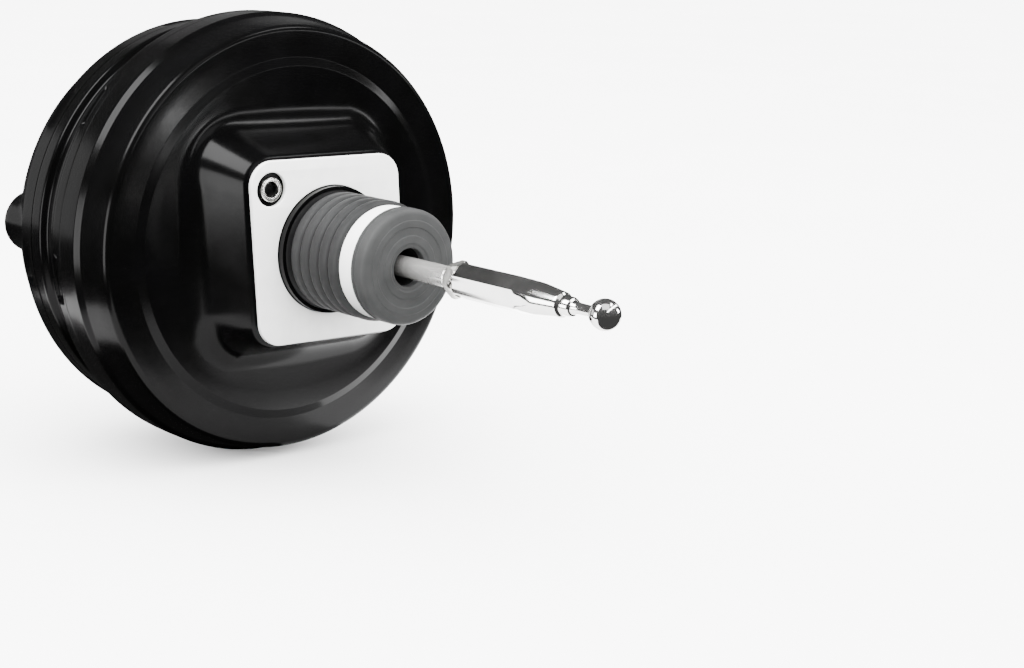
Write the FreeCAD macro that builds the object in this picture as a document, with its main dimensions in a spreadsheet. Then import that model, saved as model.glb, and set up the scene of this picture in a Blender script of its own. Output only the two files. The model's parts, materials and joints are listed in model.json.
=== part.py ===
"""Tandem vacuum brake booster, in millimetres.

The booster's axis is Y. The pedal side looks towards -Y and the master cylinder side towards
+Y, with +Z up. The origin is the centre of the rear mounting face. The pieces stand as they do
with the brake off: the power piston is at the rear end of its travel.
"""
import FreeCAD
import Part
import Sketcher
import math
import os
import re

doc = FreeCAD.newDocument("brake_booster")

sizes = {
    # pressed shells
    "wall": 2.0,                    # sheet thickness of the three shells
    "press_round": 3.0,             # usual outside rounding of a pressed corner
    "lap_gap": 0.2,                 # gap between a shell's lip and the shell around it
    "fit_gap": 0.3,                 # clearance between pieces that only lie near each other
    "slide_gap": 0.08,              # running clearance of a guided piece
    # rear mounting face
    "plate_thick": 3.0,
    "plate_half_width": 51.0,
    "plate_half_height": 52.0,
    "plate_lean": 4.7,              # sideways shift of the plate's upper and lower edges
    "plate_corner": 14.0,
    "pad_margin": 1.6,              # how far the pad stands out round the plate
    "pad_base_half": 67.0,          # half width of the pad's foot on the rear face
    "pad_base_top": 69.0,
    "pad_base_bottom": 60.0,
    "pad_base_corner": 26.0,
    "neck_radius": 36.0,
    "neck_height": 4.0,             # how far the neck stands out of the mounting face
    # rear shell
    "dish_depth": 35.2,             # from the mounting face to the rear face inside the bead
    "dish_fall": 2.5,               # how much deeper the face lies beside the pad
    "bead_step": 17.7,              # from the shoulder in to the rolled bead
    "bead_slope": 4.9,
    "bead_height": 1.8,
    "shoulder_step": 6.7,           # from the rim in to the shoulder
    "shoulder_round": 5.0,
    "rim_radius": 129.5,
    "rim_start": 61.0,              # where the rear shell steps out to its rim
    "rear_seam": 76.0,              # end of the rear shell
    # centre shell
    "centre_rim_end": 86.0,
    "band_step": 6.5,               # from the rear rim in to the band beside it
    "centre_band_end": 99.0,
    "waist_step": 5.5,              # from the band in to the waist
    "centre_waist_end": 111.5,
    "front_rim_step": 8.0,          # from the rear rim in to the front rim
    "front_seam": 124.0,            # end of the centre shell and start of the front shell
    "rear_lip_reach": 8.0,          # length of the centre shell's lip inside the rear shell
    "front_lip_reach": 4.0,
    "rim_flare": 4.5,               # how much the rear shell widens up to its rim
    "rim_step": 3.0,
    "waist_slope": 2.5,             # length of the slopes at both ends of the waist
    # front shell
    "front_rim_end": 135.0,
    "dome_root_step": 3.0,          # from the front rim in to the dome
    "dome_root": 139.0,
    "dome_shoulder_step": 8.5,
    "dome_shoulder": 154.0,
    "dome_crown_step": 24.5,
    "dome_crown": 167.0,
    "dome_face": 176.0,             # where the dome meets the master cylinder pad
    "dome_round": 12.0,
    "front_pad_face": 180.0,
    "front_pad_half_width": 58.0,
    "front_pad_half_height": 62.0,
    "front_pad_corner": 30.0,
    "pilot_radius": 25.4,
    "pilot_ring_radius": 33.5,
    "pilot_ring_height": 1.5,
    "pilot_collar": 8.0,            # length of the turned-in collar of the pilot bore
    "side_pad_face": 171.0,
    "side_pad_half_angle": 41.0,
    "port_inset": 22.0,             # from the side pad's edge in to the port
    "port_up": 4.0,
    "port_recess_radius": 15.0,
    "port_recess_depth": 3.0,
    "port_hole_radius": 11.0,
    "boss_inset": 21.5,             # from the front rim in to the boss
    "boss_up": 2.0,
    "boss_radius": 18.5,
    "boss_start": 137.0,
    "boss_face": 166.0,
    "boss_round": 5.0,
    # crimps of the two joints
    "crimp_count": 8,
    "crimp_start": 8.0,             # angle of the first crimp above +X
    "crimp_span": 11.0,
    "crimp_depth": 1.2,
    # tie tubes
    "tie_across": 41.0,
    "tie_up": 36.2,
    "tube_radius": 8.0,
    "tube_bore": 4.4,
    "tube_rear_radius": 6.8,
    "tube_rear_reach": 6.0,
    "tube_hole_radius": 9.5,
    "tube_flange_radius": 10.5,
    "tube_flange_thick": 3.0,
    "tube_stand": 19.0,             # how far the stud ends stand out of the front pad
    "tube_shoulder_radius": 12.0,
    "tube_shoulder_thick": 3.0,
    "gasket_thick": 2.4,
    "front_gasket_thick": 1.0,
    # neck seal pack
    "bearing_length": 7.0,
    "neck_seal_length": 9.0,
    "neck_retainer_thick": 2.0,
    # partition
    "partition_thick": 2.0,
    "partition_hole": 38.0,
    "partition_ring": 72.0,         # where the wall steps back
    "partition_ring_step": 4.0,
    "seal_flange": 2.4,             # how far the centre seal and its clip reach past the hole
    # power piston
    "tail_end": 66.0,               # rear end of the valve body, behind the mounting face
    "tail_flange_radius": 28.7,
    "tail_flange_length": 16.0,
    "tail_radius": 27.0,
    "tail_bore": 22.5,
    "tail_bore_end": 30.0,          # front end of the filter bore, behind the mounting face
    "valve_bore": 18.0,
    "valve_floor": 26.0,            # floor of the valve bore round the vacuum seat
    "seat_gap": 1.2,                # opening between the poppet valve and the vacuum seat
    "seat_width": 1.5,
    "vacuum_seat_radius": 14.5,
    "hub_radius": 32.0,
    "hub_start": 43.0,
    "hub_flange_radius": 40.2,
    "hub_flange": 50.0,
    "hub_nose_radius": 30.0,
    "hub_nose": 106.0,
    "hub_end": 118.0,
    "plate_sheet": 2.0,             # sheet thickness of the piston plates
    "rear_plate_step": 19.5,        # from the shell's rim in to a piston plate's edge
    "front_plate_step": 20.5,
    "plate_lip": 9.0,
    "plate_ring_radius": 70.0,
    "plate_ring_step": 5.0,
    "membrane": 1.6,                # thickness of the diaphragms
    "rear_web": 46.4,               # rear face of the rear diaphragm
    "bead_depth": 5.5,
    "bead_width": 3.6,
    "lock_ring_radius": 38.0,
    "nose_ring_width": 1.2,
    "fold_depth": 13.0,             # depth of the rolling fold in front of a diaphragm's web
    "fold_step": 9.0,               # from a plate's edge out to its diaphragm's fold
    "lock_ring_thick": 2.5,
    "tube_seal_radius": 12.0,
    # valve train
    "plunger_radius": 9.0,
    "plunger_nose": 98.0,
    "plunger_head_radius": 11.5,
    "plunger_head": 19.0,
    "plunger_head_thick": 4.5,
    "valve_travel": 2.0,
    "key_place": 60.0,
    "key_thick": 2.5,
    "key_width": 19.0,
    "groove_radius": 6.5,
    "poppet_face": 18.6,
    "poppet_lip_thick": 3.0,
    "poppet_radius": 16.8,
    "poppet_bore": 10.0,
    "poppet_root": 4.0,
    "disc_seat": 100.5,
    "disc_radius": 13.8,
    "disc_thick": 8.0,
    "output_head_thick": 4.5,
    "output_radius": 6.0,
    "output_end": 166.0,
    "output_retainer_thick": 2.5,
    # input rod
    "pivot": 30.0,                  # centre of the rod's ball in the plunger
    "pivot_radius": 5.5,
    "rod_neck_radius": 4.2,
    "rod_radius": 5.75,
    "rod_shoulder": 12.0,
    "rod_end": 150.0,               # rear end of the rod's thread, behind the mounting face
    "nut_place": 109.0,
    "nut_thick": 6.0,
    "nut_flats": 18.0,
    "nut_turn": 42.0,               # how far the nut has been turned on the rod
    "sleeve_flats": 17.0,
    "sleeve_turn": 8.0,
    "sleeve_hex_end": 166.0,
    "sleeve_cone_end": 191.0,
    "sleeve_cone_radius": 6.6,
    "sleeve_collar_end": 199.0,
    "sleeve_collar_radius": 4.6,
    "ball_neck_radius": 2.9,
    "ball_place": 220.0,
    "ball_radius": 8.0,
    # springs
    "coil_runs": 14,                # straight runs that stand for one turn of a spring's wire
    "return_coil": 34.6,
    "return_wire": 2.0,
    "return_turns": 5,
    "rod_coil": 10.6,
    "rod_wire": 0.7,
    "rod_turns": 3,
    "poppet_coil": 13.8,
    "poppet_wire": 0.6,
    "poppet_turns": 4,
    # boot and its end
    "boot_wall": 1.6,
    "boot_start": 7.0,
    "boot_end": 49.0,
    "boot_ribs": 5,
    "boot_crest": 32.2,
    "boot_root": 27.9,
    "band_radius": 31.2,
    "band_start": 49.0,
    "band_end": 60.0,
    "cap_radius": 31.8,
    "cap_end": 71.5,
    "cap_hole": 10.5,
    "cap_edge_round": 4.0,
    # vacuum port pieces
    "grommet_bore": 6.0,
    "grommet_radius": 13.6,
    "grommet_lip": 1.8,
    "tag_ring_radius": 11.0,
    "tag_hole_radius": 6.4,
    "tag_width": 8.0,
    "tag_reach": 33.0,
    "tag_thick": 2.0,
    "tag_turn": 57.0,
}

# Radii and places that follow from the sizes above.
tied = {
    "shoulder_radius": "rim_radius - shoulder_step",
    "bead_outer": "shoulder_radius - bead_step",
    "bead_inner": "bead_outer - bead_slope",
    "centre_band_radius": "rim_radius - band_step",
    "centre_waist_radius": "centre_band_radius - waist_step",
    "front_rim_radius": "rim_radius - front_rim_step",
    "dome_root_radius": "front_rim_radius - dome_root_step",
    "dome_shoulder_radius": "front_rim_radius - dome_shoulder_step",
    "dome_crown_radius": "front_rim_radius - dome_crown_step",
    "port_across": "dome_crown_radius - port_inset",
    "boss_across": "front_rim_radius - boss_inset",
    "rear_plate_radius": "rim_radius - rear_plate_step",
    "front_plate_radius": "front_rim_radius - front_plate_step",
    "rear_fold_radius": "rear_plate_radius + fold_step",
    "front_fold_radius": "front_plate_radius + fold_step",
}

sheet = doc.addObject("Spreadsheet::Sheet", "Sizes")
cells = [(name, str(number)) for name, number in sizes.items()]
cells += [(name, "=" + formula) for name, formula in tied.items()]
for row, (name, content) in enumerate(cells, start=1):
    sheet.set("A%d" % row, name)
    sheet.set("B%d" % row, content)
    sheet.setAlias("B%d" % row, name)
doc.recompute()


def bound(text):
    """Write an expression on the sheet's sizes as the document understands it."""
    def full(word):
        known = word.group(0) in sizes or word.group(0) in tied
        return "Sizes." + word.group(0) if known else word.group(0)
    return re.sub(r"[a-z][a-z_]*", full, str(text))


def size(text):
    """The number that an expression on the sheet's sizes stands for."""
    return float(sheet.evalExpression(bound(text)))


def origin_plane(body, role):
    return [item for item in body.Origin.OriginFeatures if item.Role == role][0]


def new_sketch(body, title, role, along=None):
    """A sketch on an origin plane. On XZ_Plane it looks from the front and lies at y = along."""
    sketch = body.newObject("Sketcher::SketchObject", title)
    sketch.AttachmentSupport = (origin_plane(body, role), [""])
    sketch.MapMode = "FlatFace"
    if along is not None:
        sketch.setExpression("AttachmentOffset.Base.z", bound("-(%s)" % along))
    return sketch


def place_point(rules, formulas, geometry, end, x, y):
    """Hold one end, or the centre, of a sketch geometry at two expressions."""
    for kind, axis, value in (("DistanceX", -2, x), ("DistanceY", -1, y)):
        if str(value) == "0":
            rules.append(Sketcher.Constraint("PointOnObject", geometry, end, axis))
        else:
            formulas.append((len(rules), value))
            rules.append(Sketcher.Constraint(kind, -1, 1, geometry, end, size(value)))


def settle(sketch, rules, formulas):
    """Add the constraints and bind the dimensions among them to the sheet."""
    sketch.addConstraint(rules)
    for place, text in formulas:
        sketch.setExpression("Constraints[%d]" % place, bound(text))
    return sketch


def draw_outline(sketch, corners):
    """A closed outline of straight lines through the corners, some of them rounded."""
    count = len(corners)
    spots = [FreeCAD.Vector(size(corner[0]), size(corner[1]), 0) for corner in corners]
    enter = []
    leave = []
    arcs = []
    for i, corner in enumerate(corners):
        here = spots[i]
        if len(corner) < 3:
            enter.append(here)
            leave.append(here)
            arcs.append(None)
            continue
        radius = size(corner[2])
        back = (spots[i - 1] - here).normalize()
        ahead = (spots[(i + 1) % count] - here).normalize()
        half = back.getAngle(ahead) / 2
        reach = radius / math.tan(half)
        centre = here + (back + ahead).normalize() * (radius / math.sin(half))
        first = here + back * reach
        last = here + ahead * reach
        left = back.cross(ahead).z < 0
        begin, end = (first, last) if left else (last, first)
        circle = Part.Circle(centre, FreeCAD.Vector(0, 0, 1), radius)
        angles = [math.atan2(p.y - centre.y, p.x - centre.x) for p in (begin, end)]
        arcs.append((Part.ArcOfCircle(circle, angles[0], angles[1]), left))
        enter.append(first)
        leave.append(last)
    geometry = [Part.LineSegment(leave[i], enter[(i + 1) % count]) for i in range(count)]
    rules = []
    formulas = []
    arc_place = {}
    for i in range(count):
        if arcs[i]:
            arc_place[i] = len(geometry)
            geometry.append(arcs[i][0])
    sketch.addGeometry(geometry, False)
    marks = [Part.Point(spots[i]) for i in sorted(arc_place)]
    if marks:
        sketch.addGeometry(marks, True)
    for i, corner in enumerate(corners):
        before = (i - 1) % count
        if i not in arc_place:
            rules.append(Sketcher.Constraint("Coincident", before, 2, i, 1))
            place_point(rules, formulas, i, 1, corner[0], corner[1])
            continue
        arc = arc_place[i]
        start, stop = (1, 2) if arcs[i][1] else (2, 1)
        mark = len(geometry) + sorted(arc_place).index(i)
        rules.append(Sketcher.Constraint("Tangent", before, 2, arc, start))
        rules.append(Sketcher.Constraint("Tangent", arc, stop, i, 1))
        formulas.append((len(rules), corner[2]))
        rules.append(Sketcher.Constraint("Radius", arc, size(corner[2])))
        rules.append(Sketcher.Constraint("PointOnObject", mark, 1, before))
        rules.append(Sketcher.Constraint("PointOnObject", mark, 1, i))
        place_point(rules, formulas, mark, 1, corner[0], corner[1])
    return settle(sketch, rules, formulas)


def draw_circles(sketch, circles):
    """Whole circles, each given by its centre and its radius."""
    rules = []
    formulas = []
    for i, (x, y, radius) in enumerate(circles):
        centre = FreeCAD.Vector(size(x), size(y), 0)
        sketch.addGeometry(Part.Circle(centre, FreeCAD.Vector(0, 0, 1), size(radius)), False)
        formulas.append((len(rules), radius))
        rules.append(Sketcher.Constraint("Radius", i, size(radius)))
        place_point(rules, formulas, i, 3, x, y)
    return settle(sketch, rules, formulas)


def new_body(name):
    body = doc.addObject("PartDesign::Body", name)
    body.Label = name
    return body


def turn(body, corners, cut=False, span=360, title="turn"):
    """A profile of (radius, place along the axis) corners turned round the booster's axis."""
    sketch = draw_outline(new_sketch(body, title + "_profile", "XY_Plane"), corners)
    kind = "PartDesign::Groove" if cut else "PartDesign::Revolution"
    feature = body.newObject(kind, title)
    feature.Profile = sketch
    feature.ReferenceAxis = (sketch, ["V_Axis"])
    feature.setExpression("Angle", bound(span))
    doc.recompute()
    return feature


def turn_beside(body, across, up, corners, cut=False, title="boss"):
    """A profile turned round its own axis, which stands at (across, up) in the front view."""
    sketch = new_sketch(body, title + "_profile", "XY_Plane")
    sketch.setExpression("AttachmentOffset.Base.z", bound(up))
    shifted = [("%s + (%s)" % (across, corner[0]),) + tuple(corner[1:]) for corner in corners]
    draw_outline(sketch, shifted)
    middle = size(across)
    line = Part.LineSegment(FreeCAD.Vector(middle, 0, 0), FreeCAD.Vector(middle, 1, 0))
    axis = sketch.addGeometry(line, True)
    rules = [
        Sketcher.Constraint("Vertical", axis),
        Sketcher.Constraint("PointOnObject", axis, 1, -1),
        Sketcher.Constraint("Distance", axis, 1.0),
    ]
    count = sketch.ConstraintCount
    sketch.addConstraint(rules + [Sketcher.Constraint("DistanceX", -1, 1, axis, 1, middle)])
    sketch.setExpression("Constraints[%d]" % (count + len(rules)), bound(across))
    feature = body.newObject("PartDesign::Groove" if cut else "PartDesign::Revolution", title)
    feature.Profile = sketch
    feature.ReferenceAxis = (sketch, ["Axis0"])
    feature.Angle = 360
    doc.recompute()
    return feature


def turned(name, corners):
    body = new_body(name)
    turn(body, corners)
    return body


def straight(body, sketch, length, cut=False, forward=True, title="pad"):
    """A pad or pocket of a front view sketch. Forward is towards the master cylinder."""
    kind = "PartDesign::Pocket" if cut else "PartDesign::Pad"
    feature = body.newObject(kind, title)
    feature.Profile = sketch
    feature.setExpression("Length", bound(length))
    feature.Reversed = forward != cut
    doc.recompute()
    return feature


def loft(body, sketches, cut=False, title="loft"):
    kind = "PartDesign::SubtractiveLoft" if cut else "PartDesign::AdditiveLoft"
    feature = body.newObject(kind, title)
    feature.Profile = sketches[0]
    feature.Sections = sketches[1:]
    feature.Ruled = True
    doc.recompute()
    return feature


def round_off(body, radius, chosen, title="rounding"):
    """Round the edges of the body's tip that the test chooses."""
    tip = body.Tip
    names = ["Edge%d" % (i + 1) for i, edge in enumerate(tip.Shape.Edges) if chosen(edge)]
    if not names:
        raise ValueError("no edge to round on " + body.Label + " " + title)
    feature = body.newObject("PartDesign::Fillet", title)
    feature.Base = (tip, names)
    feature.setExpression("Radius", bound(radius))
    doc.recompute()
    return feature


def repeat(body, feature, count, title="copies"):
    """Copies of a feature evenly round the booster's axis."""
    pattern = body.newObject("PartDesign::PolarPattern", title)
    pattern.Originals = [feature]
    pattern.Axis = (origin_plane(body, "Y_Axis"), [""])
    pattern.Angle = 360
    pattern.setExpression("Occurrences", bound(count))
    body.Tip = pattern
    doc.recompute()
    return pattern


def flat_at(place):
    """Test for edges that lie in the plane y = place."""
    return lambda edge: abs(edge.BoundBox.YMin - place) < 0.01 and abs(edge.BoundBox.YMax - place) < 0.01


def slanted(half_width, top, bottom, corner, margin="0"):
    """Corners of the leaning four-sided outline of the mounting face."""
    lean = "plate_lean / plate_half_height"
    right_top = "(%s) + (%s) - (%s) * ((%s) + (%s))" % (half_width, margin, lean, top, margin)
    left_top = "-(%s) - (%s) - (%s) * ((%s) + (%s))" % (half_width, margin, lean, top, margin)
    right_low = "(%s) + (%s) + (%s) * ((%s) + (%s))" % (half_width, margin, lean, bottom, margin)
    left_low = "-(%s) - (%s) + (%s) * ((%s) + (%s))" % (half_width, margin, lean, bottom, margin)
    up = "(%s) + (%s)" % (top, margin)
    down = "-(%s) - (%s)" % (bottom, margin)
    edge = "(%s) + (%s)" % (corner, margin)
    return [(left_low, down, edge), (right_low, down, edge), (right_top, up, edge), (left_top, up, edge)]


def pressed(skin):
    """Both sides of a pressed sheet, from the corners of its outside.

    Each corner is (radius, place, sheet side across, sheet side along, rounding, bulges): the
    sheet's other side lies one wall away on the given sides. A corner that bulges outwards has
    its larger rounding outside.
    """
    outside = []
    inside = []
    for radius, place, across, along, rounding, bulges in skin:
        other = ("(%s) + (%g) * wall" % (radius, across), "(%s) + (%g) * wall" % (place, along))
        large = (rounding,)
        small = ("(%s) - wall" % rounding,)
        if rounding is None:
            large = small = ()
        outside.append((radius, place) + (large if bulges else small))
        inside.insert(0, other + (small if bulges else large))
    return outside + inside


def copy_pair(name, first, second):
    """One node that holds the same piece at both tie tubes."""
    pair = doc.addObject("Part::Compound", name)
    pair.Links = [first, second]
    pair.Label = name
    return pair


def at_tube(body, upper):
    """Move a body that was turned round the origin's axis to one of the tie tubes."""
    side = "-" if upper else ""
    rise = "" if upper else "-"
    body.setExpression("Placement.Base.x", bound(side + "tie_across"))
    body.setExpression("Placement.Base.z", bound(rise + "tie_up"))
    return body


def tube_pair(name, corners):
    first = at_tube(turned(name + "_upper", corners), True)
    second = at_tube(turned(name + "_lower", corners), False)
    return copy_pair(name, first, second)


tube_spots = [("-tie_across", "tie_up"), ("tie_across", "-tie_up")]


def tube_holes(body, radius, start, length, title="tube_holes"):
    """Cut both tie tube holes through a piece, from y = start towards the front."""
    sketch = new_sketch(body, title + "_outline", "XZ_Plane", start)
    draw_circles(sketch, [(x, z, radius) for x, z in tube_spots])
    return straight(body, sketch, length, cut=True, title=title)


nodes = []


def keep(piece):
    nodes.append(piece)
    return piece


def ring(name, inner, outer, start, end, edge=None):
    """A plain turned ring."""
    rounding = () if edge is None else (edge,)
    corners = [(inner, start), (outer, start) + rounding, (outer, end) + rounding, (inner, end)]
    return keep(turned(name, corners))


# Rear shell: dished face with a bead, rolled rim, and the flared mounting pad with its neck.
def rear_shell():
    body = new_body("rear_shell")
    annulus = "dish_depth + bead_height"
    turn(body, pressed([
        ("neck_radius + 8", "dish_depth + dish_fall", 0, 1, None, True),
        ("bead_inner", "dish_depth", 0, 1, "press_round", True),
        ("bead_outer", annulus, 0, 1, "press_round", False),
        ("shoulder_radius", annulus, -1, 1, "shoulder_round", True),
        ("shoulder_radius + rim_flare", "rim_start - rim_step", -1, 0, "press_round", False),
        ("rim_radius", "rim_start", -1, 0, "press_round", True),
        ("rim_radius", "rear_seam", -1, 0, None, True),
    ]))
    foot = slanted("pad_base_half", "pad_base_top", "pad_base_bottom", "pad_base_corner")
    top = slanted("plate_half_width", "plate_half_height", "plate_half_height",
                  "plate_corner", "pad_margin")
    inner_foot = slanted("pad_base_half", "pad_base_top", "pad_base_bottom",
                         "pad_base_corner", "-wall")
    inner_top = slanted("plate_half_width", "plate_half_height", "plate_half_height",
                        "plate_corner", "pad_margin - wall")
    foot_place = "dish_depth + dish_fall + wall / 2"
    loft(body, [
        draw_outline(new_sketch(body, "pad_foot", "XZ_Plane", foot_place), foot),
        draw_outline(new_sketch(body, "pad_top", "XZ_Plane", "plate_thick"), top),
    ], title="pad_flanks")
    inside_place = "dish_depth + dish_fall + 2 * wall"
    loft(body, [
        draw_outline(new_sketch(body, "hollow_foot", "XZ_Plane", inside_place), inner_foot),
        draw_outline(new_sketch(body, "hollow_top", "XZ_Plane", "plate_thick + wall"), inner_top),
    ], cut=True, title="pad_hollow")
    turn(body, [
        ("neck_radius - wall", "-neck_height", "wall / 3"),
        ("neck_radius", "-neck_height", "wall / 3"),
        ("neck_radius", "plate_thick + wall / 2"),
        ("neck_radius - wall", "plate_thick + wall / 2"),
    ], title="neck")
    bore = draw_circles(new_sketch(body, "neck_bore_outline", "XZ_Plane", "0"),
                        [("0", "0", "neck_radius - wall")])
    straight(body, bore, "dish_depth", cut=True, title="neck_bore")
    cup = "plate_thick + wall + bearing_length + neck_seal_length + neck_retainer_thick"
    turn(body, [
        ("neck_radius - wall", "plate_thick"),
        ("neck_radius", "plate_thick"),
        ("neck_radius", cup),
        ("neck_radius - wall", cup),
    ], title="seal_cup")
    tube_holes(body, "tube_radius + fit_gap", "plate_thick - 1", "wall + 2")
    return keep(body)


def mounting_plate():
    body = new_body("mounting_plate")
    outline = slanted("plate_half_width", "plate_half_height", "plate_half_height", "plate_corner")
    sketch = draw_outline(new_sketch(body, "plate_outline", "XZ_Plane", "0"), outline)
    straight(body, sketch, "plate_thick", title="plate")
    round_off(body, "plate_thick / 5", flat_at(0), "plate_edge")
    neck = draw_circles(new_sketch(body, "neck_hole_outline", "XZ_Plane", "-1"),
                        [("0", "0", "neck_radius + fit_gap")])
    straight(body, neck, "plate_thick + 2", cut=True, title="neck_hole")
    tube_holes(body, "tube_hole_radius", "-1", "plate_thick + 2")
    return keep(body)


def dents(body, radius, start, end, title):
    """Crimps of a shell joint: shallow dents, evenly round the rim."""
    corners = [
        ("%s - crimp_depth" % radius, start),
        ("%s + 1" % radius, start),
        ("%s + 1" % radius, end),
        ("%s - crimp_depth" % radius, end),
    ]
    sketch = new_sketch(body, title + "_profile", "XY_Plane")
    sketch.AttachmentOffset = FreeCAD.Placement(
        FreeCAD.Vector(0, 0, 0), FreeCAD.Rotation(FreeCAD.Vector(0, 1, 0), -size("crimp_start")))
    draw_outline(sketch, corners)
    dent = body.newObject("PartDesign::Groove", title)
    dent.Profile = sketch
    dent.ReferenceAxis = (sketch, ["V_Axis"])
    dent.Midplane = True
    dent.setExpression("Angle", bound("crimp_span"))
    doc.recompute()
    return repeat(body, dent, "crimp_count", title + "_row")


def centre_shell():
    body = new_body("centre_shell")
    rear_lip = "rim_radius - wall - lap_gap"
    front_lip = "front_rim_radius - wall - lap_gap"
    turn(body, pressed([
        (rear_lip, "rear_seam - rear_lip_reach", -1, 0, None, True),
        (rear_lip, "rear_seam + lap_gap", -1, 0, None, True),
        ("rim_radius - lap_gap", "rear_seam + lap_gap", -1, 1, None, True),
        ("rim_radius - lap_gap", "centre_rim_end", -1, -1, "press_round", True),
        ("centre_band_radius", "centre_rim_end + waist_slope", -1, -0.4, None, True),
        ("centre_band_radius", "centre_band_end", -1, 0, None, True),
        ("centre_waist_radius", "centre_band_end + waist_slope", -1, 0, "press_round", False),
        ("centre_waist_radius", "centre_waist_end", -1, 0, "press_round", False),
        ("front_rim_radius", "centre_waist_end + waist_slope", -1, 0, "press_round", True),
        ("front_rim_radius", "front_seam - lap_gap", -1, -1, None, True),
        (front_lip, "front_seam - lap_gap", -1, -1, None, True),
        (front_lip, "front_seam + front_lip_reach", -1, 0, None, True),
    ]))
    dents(body, "rim_radius - lap_gap", "rear_seam + 4", "centre_rim_end - 1.5", "rear_crimps")
    return keep(body)


def front_shell():
    body = new_body("front_shell")
    turn(body, pressed([
        ("pilot_ring_radius + 6", "dome_face", 0, -1, None, True),
        ("front_pad_half_width + 4", "dome_face", 0, -1, "dome_round", True),
        ("dome_crown_radius", "dome_crown", -0.4, -1, "dome_round", True),
        ("dome_shoulder_radius", "dome_shoulder", -1, -0.6, "dome_round", True),
        ("dome_root_radius", "dome_root", -1, 0, "press_round", False),
        ("front_rim_radius", "front_rim_end", -1, 0, "press_round", True),
        ("front_rim_radius", "front_seam", -1, 0, None, True),
    ]))
    side_floor = "side_pad_face - port_recess_depth - 2 * wall"
    half = "side_pad_half_angle"
    side = turn(body, [
        ("front_pad_half_width - 4", "dome_crown - 6"),
        ("dome_crown_radius", "dome_crown - 6"),
        ("dome_crown_radius", "side_pad_face", "wall"),
        ("front_pad_half_width - 4", "side_pad_face"),
    ], span="2 * " + half, title="side_pad")
    side.Midplane = True
    doc.recompute()
    hollow = turn(body, [
        ("front_pad_half_width - 4 + wall", "dome_shoulder - wall"),
        ("dome_crown_radius - wall", "dome_shoulder - wall"),
        ("dome_crown_radius - wall", "side_pad_face - wall"),
        ("front_pad_half_width - 4 + wall", "side_pad_face - wall"),
    ], cut=True, span="2 * %s - 3" % half, title="side_hollow")
    hollow.Midplane = True
    doc.recompute()
    turn_beside(body, "-boss_across", "boss_up", [
        ("0", "boss_start"),
        ("boss_radius", "boss_start"),
        ("boss_radius", "boss_face", "boss_round"),
        ("0", "boss_face"),
    ])
    turn(body, [
        ("boss_across - boss_radius - wall", "boss_start - 1"),
        ("dome_root_radius - wall - lap_gap", "boss_start - 1"),
        ("dome_root_radius - wall - 1", "dome_root"),
        ("dome_shoulder_radius - wall - 1", "dome_shoulder - wall"),
        ("dome_crown_radius - wall", "dome_crown - 2 * wall"),
        ("boss_across - boss_radius - wall", "dome_crown - 2 * wall"),
    ], cut=True, title="dome_inside")
    turn_beside(body, "-boss_across", "boss_up", [
        ("0", "boss_start - 1"),
        ("boss_radius - wall", "boss_start - 1"),
        ("boss_radius - wall", "boss_face - wall", "boss_round - wall"),
        ("0", "boss_face - wall"),
    ], cut=True, title="boss_hollow")
    side_flat = turn(body, [
        ("front_pad_half_width - 6", "side_pad_face"),
        ("dome_crown_radius + wall", "side_pad_face"),
        ("dome_crown_radius + wall", "front_pad_face"),
        ("front_pad_half_width - 6", "front_pad_face"),
    ], cut=True, span="2 * " + half, title="side_flat")
    side_flat.Midplane = True
    doc.recompute()
    outline = slanted_box("front_pad_half_width", "front_pad_half_height", "front_pad_corner", "0")
    sketch = draw_outline(new_sketch(body, "pad_outline", "XZ_Plane", "side_pad_face - wall"), outline)
    straight(body, sketch, "front_pad_face - side_pad_face + wall", title="pad")
    outline = slanted_box("front_pad_half_width", "front_pad_half_height", "front_pad_corner", "wall")
    sketch = draw_outline(new_sketch(body, "pad_hollow_outline", "XZ_Plane", "dome_crown - 8"), outline)
    straight(body, sketch, "front_pad_face - wall - dome_crown + 8", cut=True, title="pad_hollow")
    bore = draw_circles(new_sketch(body, "pilot_outline", "XZ_Plane", "dome_crown"),
                        [("0", "0", "pilot_radius")])
    straight(body, bore, "front_pad_face - dome_crown + 1", cut=True, title="pilot_bore")
    turn(body, [
        ("pilot_radius", "front_pad_face - pilot_collar"),
        ("pilot_radius + wall", "front_pad_face - pilot_collar"),
        ("pilot_radius + wall", "front_pad_face - wall / 2"),
        ("pilot_ring_radius", "front_pad_face - wall / 2"),
        ("pilot_ring_radius", "front_pad_face + pilot_ring_height", "pilot_ring_height / 2"),
        ("pilot_radius", "front_pad_face + pilot_ring_height", "pilot_ring_height / 2"),
    ], title="pilot_collar_turn")
    seat = draw_circles(new_sketch(body, "port_cup_outline", "XZ_Plane", side_floor),
                        [("port_across", "port_up", "port_recess_radius + wall")])
    straight(body, seat, "side_pad_face - wall / 2 - (%s)" % side_floor, title="port_cup")
    recess = draw_circles(
        new_sketch(body, "port_recess_outline", "XZ_Plane", "side_pad_face - port_recess_depth"),
        [("port_across", "port_up", "port_recess_radius")])
    straight(body, recess, "port_recess_depth + 1", cut=True, title="port_recess")
    under = draw_circles(new_sketch(body, "port_under_outline", "XZ_Plane", side_floor + " - 1"),
                         [("port_across", "port_up", "port_recess_radius")])
    straight(body, under, "wall + 1", cut=True, title="port_under")
    hole = draw_circles(new_sketch(body, "port_hole_outline", "XZ_Plane", side_floor + " - 1"),
                        [("port_across", "port_up", "port_hole_radius")])
    straight(body, hole, "port_recess_depth + 3 * wall", cut=True, title="port_hole")
    tube_holes(body, "tube_radius + fit_gap", "dome_face - wall - 1", "front_pad_face - dome_face + 5")
    dents(body, "front_rim_radius", "front_seam + 2.5", "front_rim_end - 2.5", "front_crimps")
    return keep(body)


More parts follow.
